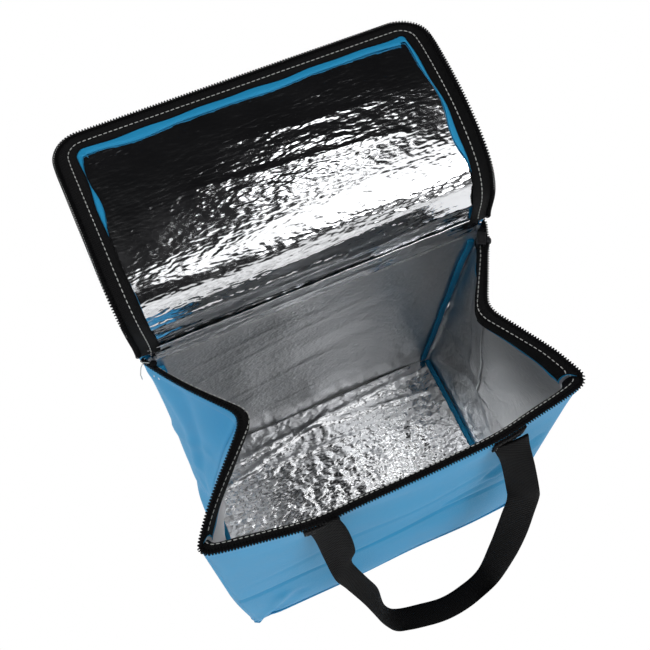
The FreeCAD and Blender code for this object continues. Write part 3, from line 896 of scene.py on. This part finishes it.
for rim_name, rim_nodes in RIM.items():
    join = WALL_PIECES[rim_name][3]
    front = rim_name == "front"
    across = (0, -1, 0) if front else (1, 0, 0)
    hem_grid = rim_strip(rim_name, FRONT_HEM_PROFILE if front else HEM_PROFILE, 0.5)
    tape_grid = rim_strip(rim_name, FRONT_TAPE_PROFILE if front else TAPE_PROFILE, 0.9)
    row_line = rim_line(rim_name, *(FRONT_TAPE_ROW if front else TAPE_ROW))
    hem = sheet(rim_name + "_rim_hem", hem_grid, CLOTH, BLUE_CLOTH, "shell_fabric")
    tape = sheet(rim_name + "_zip_tape", tape_grid, TAPE_THICK, TAPE_CLOTH, "zip_tape")
    teeth = piece(rim_name + "_zip_coil", *coil(rim_line(rim_name, *RIM_COIL), across), NYLON, "zip_coil")
    row = piece(rim_name + "_zip_stitches", *stitches(row_line, across), PALE_THREAD, "thread")
    for made in (hem, tape, teeth, row):
        join(made)
    if rim_nodes:
        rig.replaces(tape, rim_nodes[0])
        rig.replaces(teeth, rim_nodes[1])

# ---------------------------------------------------------------------------
# Lid. The same three layers as the walls, thrown back over the hinge. It stands up for a short way and then
# curls over backwards, with its front edge drooping more on the left.

LID_LENGTH, LID_WIDTH, LID_ROUND = 180.0, 280.0, 22.0
LID_FIRST, EDGE_STEP = 1.0, 3.0
CURL_START, CURL_END = (92.0, 312.0), (146.0, 352.0)
LID_RIGHT = [(90, 289.5), (90.5, 299), (91.5, 321), (99, 335), (111, 344), (126, 350.5), (143, 355.3),
             (161, 358), (182, 359), (204, 358), (224, 355)]
LID_LEFT = [(90, 289.5), (91.5, 301), (92.5, 324), (99, 338), (115, 346), (139, 350), (164, 351.5),
            (191, 351), (212, 349.5), (234, 347)]


def smooth_line(stations, count=140):
    """A smooth line through stations, with the same number of columns."""
    stations = np.asarray(stations, float)
    padded = np.concatenate([[2 * stations[0] - stations[1]], stations, [2 * stations[-1] - stations[-2]]])
    made = []
    for place in np.linspace(0, len(stations) - 1 - 1e-9, count):
        i, u = int(place), place - int(place)
        p0, p1, p2, p3 = padded[i:i + 4]
        made.append(0.5 * (2 * p1 + (p2 - p0) * u + (2 * p0 - 5 * p1 + 4 * p2 - p3) * u ** 2
                           + (3 * p1 - p0 - 3 * p2 + p3) * u ** 3))
    return np.array(made)


def evened(line, count=401, rounds=60):
    """The same flat line with evenly spaced points, and its bends eased."""
    run = np.concatenate([[0], np.cumsum(np.linalg.norm(np.diff(line, axis=0), axis=1))])
    at = np.linspace(0, run[-1], count)
    line = np.stack([np.interp(at, run, column) for column in line.T], 1)
    for _ in range(rounds):
        line[1:-1] = 0.5 * line[1:-1] + 0.25 * (line[:-2] + line[2:])
    return line


LID_EDGES = np.stack([evened(smooth_line(edge)) for edge in (LID_LEFT, LID_RIGHT)])
LID_SLOPES = np.gradient(LID_EDGES, axis=1)


def lid(a, s, below):
    """A point of the lid: a across from its middle, s from the hinge, and a depth below its outside."""
    a, s, below = np.broadcast_arrays(a * 1.0, s * 1.0, below * 1.0)
    near_hinge = np.clip(1 - s / 150, 0, 1)
    a = a * (1 - 0.05 * near_hinge * np.sqrt(1 - near_hinge))
    side = np.clip(a / LID_WIDTH + 0.5, 0, 1)
    place = np.clip(s / LID_LENGTH, 0, 1) * (LID_EDGES.shape[1] - 1)
    step = np.arange(LID_EDGES.shape[1])

    def across(tables, k):
        left, right = (np.interp(place, step, table[:, k]) for table in tables)
        return left * (1 - side) + right * side

    slope_y, slope_z = across(LID_SLOPES, 0), across(LID_SLOPES, 1)
    size = np.hypot(slope_y, slope_z)
    below = below + 0.7 * np.sin(math.pi * np.clip(s / LID_LENGTH, 0, 1)) * wave(a, s, 41, 110)
    y = across(LID_EDGES, 0) - slope_z / size * below
    z = across(LID_EDGES, 1) + slope_y / size * below
    return np.stack([a + SHIFT, y, z], -1)


def lid_half_width(s, inset):
    """Half the lid's width at that distance from the hinge, that far inside its edge."""
    into = np.clip(s - (LID_LENGTH - LID_ROUND), 0, LID_ROUND - inset)
    return LID_WIDTH / 2 - LID_ROUND + np.sqrt(np.clip((LID_ROUND - inset) ** 2 - into ** 2, 0, None))


def lid_rows(inset, step):
    """Distances from the hinge for the rows of a lid layer, closer together round its corners."""
    straight = spread(LID_FIRST, LID_LENGTH - LID_ROUND, step)
    turns = (LID_ROUND - inset) * np.sin(np.linspace(0, math.pi / 2, 9)[1:])
    return np.concatenate([straight, LID_LENGTH - LID_ROUND + turns])


def lid_flat(inset, step):
    """The flat places of a lid layer's grid of points: across and from the hinge."""
    s, u = np.meshgrid(lid_rows(inset, step), spread(-1, 1, 2 * step / LID_WIDTH), indexing="ij")
    return u * lid_half_width(s, inset), s


def curl(made):
    """Joins a piece of the lid so that it curls from the part by the hinge to the part by the front."""
    bend_over("lid_back", "lid_front", (0, *CURL_START), (0, *CURL_END))(made)


def lid_layer(name, inset, below, thickness, material, slot, step=5.0):
    """One sheet of the lid. The depth is a number, or a function of the flat place."""
    a, s = lid_flat(inset, step)
    made = sheet(name, lid(a, s, below(a, s) if callable(below) else below), thickness, material, slot)
    curl(made)
    return made


LID_FOLDS = [
    ((-134, 30), (20, 26), 1.6), ((-60, 17), (134, 27), 1.3), ((-130, 14), (40, 12), 1.2),
    ((-30, 38), (134, 44), 0.9), ((-60, 104), (90, 92), 0.7), ((-30, 128), (84, 120), 0.6),
]


def lid_film_depth(a, s):
    """How deep the lid's film lies: crushed, with long folds across it by the hinge and over the curl."""
    deep = 4.5 + 0.35 * (crumple(a / 1.8, s, 9, 11) - 0.5) + 0.25 * wave(a / 1.6, s, 12, 24)
    for start, end, size in LID_FOLDS:
        deep = deep + size * near_line(a, s, start, end, 2.2)
    return np.where(s > LID_LENGTH - 12, np.minimum(deep, 4.6), deep)


lid_shell = lid_layer("lid_shell", 3.0, CLOTH / 2, CLOTH, BLUE_CLOTH, "shell_fabric")
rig.replaces(lid_shell, "lid_back_fabric", "lid_front_fabric")
lid_padding = lid_layer("lid_padding", 8.0, 1.9, 1.8, FOAM_MATERIAL, "foam")
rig.replaces(lid_padding, "lid_back_foam", "lid_front_foam")
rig.padded(lid_padding, fill=0.5)
lid_lining = lid_layer("lid_lining", 9.0, lid_film_depth, FOIL, LID_FOIL, "foil", 2.0)
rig.replaces(lid_lining, "lid_back_foil", "lid_front_foil")


def lid_edge():
    """The lid's edge from the hinge's left end to its right, as flat places, and the way inwards at each."""
    radius = LID_ROUND
    left = [(-LID_WIDTH / 2, s) for s in spread(LID_FIRST, LID_LENGTH - radius, EDGE_STEP)]
    turn = np.linspace(0, math.pi / 2, 14)[1:-1]
    corner = [(-LID_WIDTH / 2 + radius * (1 - math.cos(q)), LID_LENGTH - radius * (1 - math.sin(q)))
              for q in turn]
    front = [(a, LID_LENGTH) for a in spread(-LID_WIDTH / 2 + radius, LID_WIDTH / 2 - radius, EDGE_STEP)]
    half = np.array(left + corner + front)
    mirror = (half[:len(left) + len(corner)] * np.array([-1, 1]))[::-1]
    outline = np.concatenate([half, mirror])
    along = np.gradient(outline, axis=0)
    along /= np.linalg.norm(along, axis=1, keepdims=True)
    return outline, np.stack([along[:, 1], -along[:, 0]], 1)


def lid_strip(insets, belows, sway=0.0, seed=1):
    """The grid of a strip round the lid's edge, between several distances inside it and depths."""
    outline, inwards = lid_edge()
    run = np.arange(len(outline)) * EDGE_STEP
    rows = []
    for place, (inset, below) in enumerate(zip(insets, belows)):
        share = place / (len(insets) - 1)
        width = inset if np.isscalar(inset) else inset(outline)
        width = width + sway * share ** 2 * wave(run, 0 * run, seed, 24)
        at = outline + inwards * np.reshape(width, (-1, 1))
        at[:, 1] = np.maximum(at[:, 1], 1.0)
        rows.append(lid(at[:, 0], at[:, 1], below))
    return np.stack(rows)


def hem_reach(outline):
    """How far in the lid's blue hem reaches: most along its front edge, where it has come loose."""
    front = np.clip((outline[:, 1] - 130) / 50, 0, 1)
    left = np.clip(-outline[:, 0] / 140, 0, 1) * np.clip((outline[:, 1] - 60) / 100, 0, 1)
    right = np.clip(outline[:, 0] / 140, 0, 1)
    low = np.clip(1 - outline[:, 1] / 70, 0, 1)
    return 15.5 + 6.0 * front + 1.5 * left + 1.6 * right * (1 - front) - 5.0 * low


hem_grid = lid_strip([2.6, 3.0, 8, 14, lambda o: 0.5 * hem_reach(o) + 8, hem_reach],
                     [0.0, 5.2, 5.4, 5.6, 5.7, 5.5], 2.2, 3)
tape_grid = lid_strip([1.6, 3.5, 7, 10, 13, 16], [5.4, 6.0, 6.3, 6.4, 6.5, 6.4], 0.8, 5)
lid_hem = sheet("lid_hem", hem_grid, CLOTH, BLUE_CLOTH, "shell_fabric")
lid_tape = sheet("lid_zip_tape", tape_grid, TAPE_THICK, TAPE_CLOTH, "zip_tape")
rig.replaces(lid_tape, "lid_back_tape", "lid_front_tape")
edge_flat, edge_in = lid_edge()
coil_flat = edge_flat + edge_in * 0.8
lid_coil_line = lid(coil_flat[:, 0], coil_flat[:, 1], 5.9)
row_flat = edge_flat + edge_in * 10.0
lid_row_line = lid(row_flat[:, 0], np.maximum(row_flat[:, 1], 2), 6.8)
inner_flat = coil_flat + edge_in * 2
coil_across = lid(inner_flat[:, 0], inner_flat[:, 1], 5.9) - lid_coil_line
lid_coil = piece("lid_zip_coil", *coil(lid_coil_line, coil_across), NYLON, "zip_coil")
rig.replaces(lid_coil, "lid_back_coil", "lid_front_coil")
lid_row = piece("lid_zip_stitches", *stitches(lid_row_line, coil_across), PALE_THREAD, "thread")
for made in (lid_hem, lid_tape, lid_coil, lid_row):
    curl(made)

# ---------------------------------------------------------------------------
# Hinge. The shell and the lining run on from the back wall into the lid, with a row of stitches through them
# below the fold.

join_hinge = bend_over("shell", "lid_back", (0, BACK, 280.0), (0, BACK, 300.0))
hinge_t, hinge_z = np.meshgrid(spread(0, 1, 4.0 / 280), spread(WALL_TOP - 1, 296, 1.5))
hinge_x = side_x(-1, WALL_TOP) + hinge_t * 2 * HALF_WIDTH
for hinge_name, hinge_depth, hinge_thick, hinge_material, hinge_slot in (
        ("hinge_shell", CLOTH / 2, CLOTH, BLUE_CLOTH, "shell_fabric"),
        ("hinge_lining", 5.8, FOIL, LID_FOIL, "foil")):
    crinkle = (0.7 * (crumple(hinge_x / 1.8, hinge_z, 4, 8) - 0.5) + 0.7 * near_line(
        hinge_x, hinge_z, (-120, 287), (150, 284), 1.6)) * (hinge_slot == "foil")
    inset = 9.0 * (hinge_slot == "foil")
    drawn_in = 14 + (hinge_x - 14) * (1 - inset / HALF_WIDTH)
    grid = np.stack([drawn_in, BACK - hinge_depth - crinkle, hinge_z], -1)
    made = sheet(hinge_name, grid, hinge_thick, hinge_material, hinge_slot)
    join_hinge(made)
    if hinge_slot == "shell_fabric":
        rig.replaces(made, "hinge_strip")
sewn_t = spread(0.04, 0.96, 0.01)
sewn = back_wall(sewn_t, np.full_like(sewn_t, WALL_TOP - 3.0), LINING_DEPTH + 1.8)
made = piece("hinge_stitches", *stitches(sewn, (0, 0, 1)), PALE_THREAD, "thread")
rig.ride(made, "shell")

# ---------------------------------------------------------------------------
# Slider. Black painted zinc: two cheeks and a roof round the coil, with a loop that carries the pull tab.
# The coil's two halves are gathered in crimped stops at the back corners.


def painted_zinc():
    """Black enamel on cast metal, worn a little at its edges."""
    material, cloth = start_material("painted_zinc")
    worn = grain(cloth, 2, 3)
    shade = mix_colours(worn, (0.012, 0.012, 0.013), (0.05, 0.05, 0.055))
    sockets = {"Base Color": shade, "Metallic": 0.6, "Roughness": 0.28 + worn * 0.15}
    return dress(material, sockets, worn, 0.05)


ZINC = painted_zinc()


def middle_of(node):
    """The middle of a part of the frame, in millimetres."""
    low, high = corners_of(node)
    return (low + high) / 2


def rounded_box(name, middle, size, turn, material, slot, soft):
    """A box with soft edges, turned about the upright axis."""
    signs = np.array([(x, y, z) for x in (-1, 1) for y in (-1, 1) for z in (-1, 1)]) * np.array(size) / 2
    c, s = math.cos(turn), math.sin(turn)
    points = signs @ np.array([[c, s, 0], [-s, c, 0], [0, 0, 1]]) + middle
    faces = [(0, 1, 3, 2), (4, 6, 7, 5), (0, 4, 5, 1), (2, 3, 7, 6), (0, 2, 6, 4), (1, 5, 7, 3)]
    made = piece(name, points, faces, material, slot, smooth=False)
    bevel = made.modifiers.new("soft", "BEVEL")
    bevel.width, bevel.segments = soft / 1000, 3
    return made


PULL_PIN, RIM_WAY = np.array((147.41, 69.58, 280.5)), np.array((-0.5052, -0.8630, 0.0))
outward = np.cross((0, 0, 1), RIM_WAY)
arm_turn = math.atan2(RIM_WAY[1], RIM_WAY[0])
slider_middle = np.array([*middle_of("slider")[:2], 280.2])
slider_middle += outward * (float((PULL_PIN - slider_middle) @ outward) - 5.9)
slider_parts = [
    ("slider_roof", slider_middle + np.array([0, 0, 2.4]), (11, 6.4, 1.2), 0.5),
    ("slider_outer_cheek", slider_middle + outward * 2.55 + np.array([0, 0, -0.8]), (11, 1.1, 5.4), 0.5),
    ("slider_inner_cheek", slider_middle - outward * 2.55 + np.array([0, 0, -0.8]), (11, 1.1, 5.4), 0.5),
]
for part_name, part_at, part_size, part_soft in slider_parts:
    made = rounded_box(part_name, part_at, part_size, arm_turn, ZINC, "zip_metal", part_soft)
    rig.ride(made, "slider")
    if part_name == "slider_roof":
        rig.replaces(made, "slider")
around = np.linspace(-2.6, 2.6, 18)[:, None]
ring_out, ring_up = outward * np.cos(around) * 2.0, np.array([0, 0, 1.0]) * np.sin(around) * 1.75
ring = PULL_PIN - outward * 0.6 + ring_out + ring_up
made = piece("slider_loop", *bar(ring, RIM_WAY, 2.1, 0.45, 12), ZINC, "zip_metal")
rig.ride(made, "slider")

tab_foot = np.array([*middle_of("pull_tab")[:2], corners_of("pull_tab")[0][2] + 0.6]) - PULL_PIN
tab_foot = outward * max(float(tab_foot @ outward), 0.0) + np.array([0, 0, tab_foot[2]])
tab_down = tab_foot / np.linalg.norm(tab_foot)
tab_parts = [bar(np.linspace(PULL_PIN - RIM_WAY * 3.9, PULL_PIN + RIM_WAY * 3.9, 8), outward, 0.6, 0.6, 12)]
for side in (-1, 1):
    start = PULL_PIN + RIM_WAY * side * 3.3
    tab_parts.append(bar(np.linspace(start, start + tab_down * 4.6, 8), RIM_WAY, 0.7, 0.6, 12))
leaf = np.linspace(PULL_PIN + tab_down * 4.4, PULL_PIN + tab_foot, 12)
leaf_wide = np.array([4.0, 4.0, 4.0, 3.9, 3.8, 3.7, 3.6, 3.5, 3.5, 3.4, 3.0, 1.8])
tab_parts.append(bar(leaf, RIM_WAY, leaf_wide, 0.62, 16))
made = piece("zip_pull", *joined(tab_parts), ZINC, "zip_metal")
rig.ride(made, "pull_tab")
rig.replaces(made, "pull_tab")

for stop_name, stop_side in (("zip_closed_end", -1), ("zip_open_end", 1)):
    made = rounded_box(stop_name + "_crimp", middle_of(stop_name), (4.4, 4.0, 3.4), 0.5 * stop_side, NYLON,
                       "zip_coil", 0.8)
    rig.ride(made, "shell")
    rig.replaces(made, stop_name)
tail = [(-120, 82, 281), (-124, 84, 281.5), (-127, 82, 279), (-129.5, 79, 274), (-130, 78, 268)]
fine_tail, _ = resampled(tail, 1.0)
made = piece("thread_tail", *bar(fine_tail, (1, 0, 0), 0.35, 0.35, 6), PALE_THREAD, "thread")
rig.ride(made, "shell")

# ---------------------------------------------------------------------------
# Handles. Two loops of heavy black webbing. Each end is folded under and sewn flat on the wall with a boxed
# row of stitches, and the loop hangs out from the wall until it rests on the floor.


def webbing():
    """Heavy black polypropylene webbing: thick ribs along it, bound by a fine cross weave."""
    material, cloth = start_material("webbing_cloth")
    height = weave(cloth, 1.6) * 0.8 + grain(cloth, 0.9, 2, (1, 4, 1)) * 0.5
    shade = mix_colours(grain(cloth, 1.5, 3), (0.0015, 0.0015, 0.0017), (0.006, 0.006, 0.0065))
    return dress(material, {"Base Color": shade, "Roughness": 0.65, "Specular IOR Level": 0.04}, height, 0.6)


WEBBING_CLOTH = webbing()
WEB_HALF, WEB_THICK = 13.6, 1.5


def ribbon(name, stations):
    """Webbing behind the back wall, along stations of x, distance down, distance off its plane and roll."""
    line = smooth_line(stations)
    x, down, off, roll = line.T
    plane_down, plane_out = np.array([0, 0.269, -0.963]), np.array([0, 0.963, 0.269])
    start = np.array([0, BACK + 2.4, 265.0])
    middle = start + x[:, None] * np.array([1, 0, 0]) + down[:, None] * plane_down + off[:, None] * plane_out
    middle[:, 2] = np.maximum(middle[:, 2], 1.6)
    along = np.gradient(middle, axis=0)
    along /= np.linalg.norm(along, axis=1, keepdims=True)
    normal = plane_out - (along @ plane_out)[:, None] * along
    normal /= np.linalg.norm(normal, axis=1, keepdims=True)
    across = np.cross(along, normal)
    roll = np.radians(roll)[:, None]
    across = across * np.cos(roll) + normal * np.sin(roll)
    u = np.linspace(-1, 1, 9)[:, None, None]
    cup = 0.7 * (u ** 2) * np.cross(across, along)[None]
    grid = middle[None] + u * across[None] * WEB_HALF + cup
    grid[..., 2] = np.maximum(grid[..., 2], 1.2)
    return sheet(name, grid, WEB_THICK, WEBBING_CLOTH, "webbing")


FRONT_OUTER = [
    (-65.1, -65.4, 272.8), (-60.4, -72.3, 246.7), (-58.6, -83.5, 209.6), (-56.3, -97.5, 174.4),
    (-50.4, -105.4, 148.5), (-41.6, -118.8, 112.4), (-34.6, -130.8, 76.0), (-26.2, -144.0, 26.2),
    (-15.3, -153.2, 2.0), (6.5, -158.9, 2.0), (32.6, -162.7, 2.0), (59.7, -160.9, 2.0),
    (90.3, -153.3, 2.0), (106.2, -139.3, 52.3), (114.8, -126.5, 96.1), (120.2, -113.8, 133.4),
    (122.7, -106.0, 157.8), (118.9, -101.9, 181.7), (111.5, -88.0, 223.4), (106.0, -77.3, 251.3),
    (102.5, -71.8, 270.9),
]
FRONT_INNER = [
    (-42.2, -71.1, 284.0), (-37.6, -78.9, 257.4), (-36.0, -88.1, 221.6), (-40.3, -91.5, 194.6),
    (-36.8, -97.7, 170.0), (-31.0, -104.4, 133.7), (-24.3, -113.2, 95.7), (-21.5, -127.1, 48.2),
    (-9.6, -134.7, 17.4), (12.9, -139.6, 12.3), (33.8, -142.9, 12.4), (54.3, -141.1, 11.8),
    (76.8, -135.2, 14.1), (88.0, -120.7, 62.2), (92.9, -111.0, 98.9), (95.2, -103.5, 133.6),
    (97.3, -97.0, 160.8), (95.8, -88.0, 183.6), (87.1, -77.2, 230.6), (79.7, -72.7, 257.2),
    (76.0, -69.8, 267.6),
]
outer_line, inner_line = smooth_line(FRONT_OUTER, 160), smooth_line(FRONT_INNER, 160)
share = np.linspace(0, 1, 9)[:, None, None]
web_grid = outer_line[None] * (1 - share) + inner_line[None] * share
web_out = np.cross(np.gradient(outer_line, axis=0), inner_line - outer_line)
web_out /= np.linalg.norm(web_out, axis=1, keepdims=True)
web_grid = web_grid + 1.1 * (1 - (2 * share - 1) ** 2) * web_out
web_grid[..., 2] = np.maximum(web_grid[..., 2], 1.6)
made = sheet("front_handle_webbing", web_grid, WEB_THICK, WEBBING_CLOTH, "webbing")
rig.ride(made, "front_handle")
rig.replaces(made, "front_handle")
back_stations = [
    (-55.5, 6, 0, 0), (-55.5, 40, 3, 0), (-56, 100, 6, -4), (-54, 160, 7, 0), (-47, 215, 5, 0),
    (-28, 250, 4, 0), (0, 264, 4, 0), (28, 264, 4, 0), (56, 250, 4, 0), (74, 215, 5, 0),
    (81, 160, 7, 0), (84, 100, 6, 4), (83, 40, 3, 0), (82.5, 6, 0, 0),
]
made = ribbon("back_handle_webbing", back_stations)
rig.ride(made, "back_handle")
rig.replaces(made, "back_handle")


def wall_place(wall, x, z):
    """How far across the front or the back wall a place is, from 0 to 1."""
    swell = (corner_out(-1, z), corner_out(1, z)) if wall is front_wall else (0, 0)
    left, right = side_x(-1, z) + swell[0], side_x(1, z) + swell[1]
    return (x - left) / (right - left)


BLACK_THREAD = thread_material("black_thread", (0.03, 0.03, 0.032))
for end_name, wall, centres, join in (("front", front_wall, (-52.5, 88.5), JOIN_FRONT),
                                      ("back", back_wall, (-55.5, 82.5), ride_on("shell"))):
    patches, rows = [], []
    for centre in centres:
        end_z = np.linspace(WALL_TOP - 15, WALL_TOP + 0.8, 8)
        z, u = np.meshgrid(end_z, np.linspace(-1, 1, 9), indexing="ij")
        patches.append(wall(wall_place(wall, centre + u * (WEB_HALF - 0.8), z), z, -1.7))
        box_z = np.array([WALL_TOP - 13, WALL_TOP - 3, WALL_TOP - 3, WALL_TOP - 13, WALL_TOP - 13])
        box_u = np.array([-0.8, -0.8, 0.8, 0.8, -0.8])
        for i in range(4):
            share = np.linspace(0, 1, 12)
            zz = box_z[i] + (box_z[i + 1] - box_z[i]) * share
            uu = box_u[i] + (box_u[i + 1] - box_u[i]) * share
            tt = wall_place(wall, centre + uu * WEB_HALF, zz)
            rows.append(stitches(wall(tt, zz, -2.6), (1, 0, 0) if i % 2 == 0 else (0, 0, 1)))
    for k, grid in enumerate(patches):
        patch_name = f"{end_name}_handle_end_{('left', 'right')[k]}"
        made = sheet(patch_name, grid, WEB_THICK, WEBBING_CLOTH, "webbing")
        join(made)
        if k == 0:
            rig.replaces(made, end_name + "_handle_ends")
    made = piece(end_name + "_handle_stitches", *joined(rows), BLACK_THREAD, "thread")
    join(made)

# ---------------------------------------------------------------------------
# Set. A bright seamless floor, a world that is pale low down and dark overhead, and six softboxes: three
# above on the right, one behind on the left, one on the left and a low wide one in front.

floor_mesh = bpy.data.meshes.new("floor")
FLOOR_HALF, FLOOR_Z = 6, -0.0015
floor_corners = [(x * FLOOR_HALF, y * FLOOR_HALF, FLOOR_Z) for x, y in ((-1, -1), (1, -1), (1, 1), (-1, 1))]
floor_mesh.from_pydata(floor_corners, [], [(0, 1, 2, 3)])
floor = bpy.data.objects.new("floor", floor_mesh)
bpy.context.scene.collection.objects.link(floor)
white = bpy.data.materials.new("white_floor")
white.use_nodes = True
shader = white.node_tree.nodes["Principled BSDF"]
shader.inputs["Base Color"].default_value = (0.9, 0.9, 0.9, 1)
shader.inputs["Roughness"].default_value = 0.9
shader.inputs["Emission Color"].default_value = (1, 1, 1, 1)
shader.inputs["Emission Strength"].default_value = 0.5
floor_seen = Signal(white.node_tree, None)
glow = floor_seen.make("Emission", {"Color": (1, 1, 1, 1), "Strength": 1.0})
to_camera = floor_seen.make("LightPath", {}, out="Is Camera Ray")
both = floor_seen.make("MixShader", {0: to_camera, 1: Signal(white.node_tree, shader.outputs[0]), 2: glow})
white.node_tree.links.new(both.socket, white.node_tree.nodes["Material Output"].inputs["Surface"])
floor_mesh.materials.append(white)
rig.stage(floor)

world = bpy.data.worlds.new("studio")
bpy.context.scene.world = world
world.use_nodes = True
sky = Signal(world.node_tree, None)
direction = sky.make("TexCoord", {}, out="Generated")
height = sky.make("SeparateXYZ", {0: direction}, out=2)
sky_stops = ((0.0, (0.50, 0.50, 0.50)), (0.45, (0.006, 0.006, 0.0065)))
dark = height.make("ValToRGB", {"Fac": height}, stops=sky_stops)
seen = sky.make("LightPath", {}, out="Is Camera Ray")
shade = seen.make("Mix", {0: seen, 6: dark, 7: (1.2, 1.2, 1.2, 1)}, out=2, data_type="RGBA")
world.node_tree.links.new(shade.socket, world.node_tree.nodes["Background"].inputs["Color"])


def softbox(name, at, towards, wide, deep, power):
    """An area light at a point, facing another, in metres, with a power in watts."""
    light = bpy.data.lights.new(name, "AREA")
    light.shape, light.size, light.size_y = "RECTANGLE", wide, deep
    light.energy = power
    made = bpy.data.objects.new(name, light)
    bpy.context.scene.collection.objects.link(made)
    facing = Vector(towards) - Vector(at)
    made.matrix_world = Matrix.Translation(at) @ facing.to_track_quat("-Z", "Y").to_matrix().to_4x4()
    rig.stage(made)


softbox("key_softbox", (0.85, -1.05, 1.65), (0, 0, 0.2), 0.9, 0.7, 9)
softbox("overhead_softbox", (0.30, 0.36, 1.7), (0.02, 0.04, 0.1), 0.32, 0.17, 0.65)
softbox("forward_softbox", (0.42, -0.46, 1.7), (0.02, 0.0, 0.1), 0.8, 1.0, 3.6)
softbox("sideways_softbox", (-0.85, 0.45, 1.5), (0.0, 0.0, 0.1), 0.5, 0.6, 7.0)
softbox("left_softbox", (-1.4, -0.4, 1.2), (0, 0, 0.2), 0.8, 1.2, 4.5)
softbox("front_softbox", (0.1, -1.8, 0.7), (0, 0, 0.15), 1.6, 0.8, 2.5)

camera_data = bpy.data.cameras.new("main_camera")
camera_data.lens, camera_data.sensor_width = 41.54, 36
camera_data.clip_start = 0.01
camera = bpy.data.objects.new("main_camera", camera_data)
bpy.context.scene.collection.objects.link(camera)
CAMERA_AZ, CAMERA_EL, CAMERA_ROLL = math.radians(-21.36), math.radians(66.88), math.radians(-2.76)
backward = Vector((math.sin(CAMERA_AZ) * math.cos(CAMERA_EL), -math.cos(CAMERA_AZ) * math.cos(CAMERA_EL),
                   math.sin(CAMERA_EL)))
level = (-backward).cross(Vector((0, 0, 1))).normalized()
upright = level.cross(-backward)
right = level * math.cos(CAMERA_ROLL) + upright * math.sin(CAMERA_ROLL)
top = upright * math.cos(CAMERA_ROLL) - level * math.sin(CAMERA_ROLL)
turn = Matrix((right, top, backward)).transposed().to_4x4()
camera.matrix_world = Matrix.Translation((-0.0718, -0.1416, 0.7812)) @ turn
bpy.context.scene.camera = camera
bpy.context.scene.view_settings.view_transform = "Standard"
bpy.context.scene.view_settings.look = "None"

with open("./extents.json", "w") as size_file:
    json.dump([[list(map(float, corner)) for corner in cad_box], [list(map(float, corner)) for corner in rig.bounds()]],
              size_file)
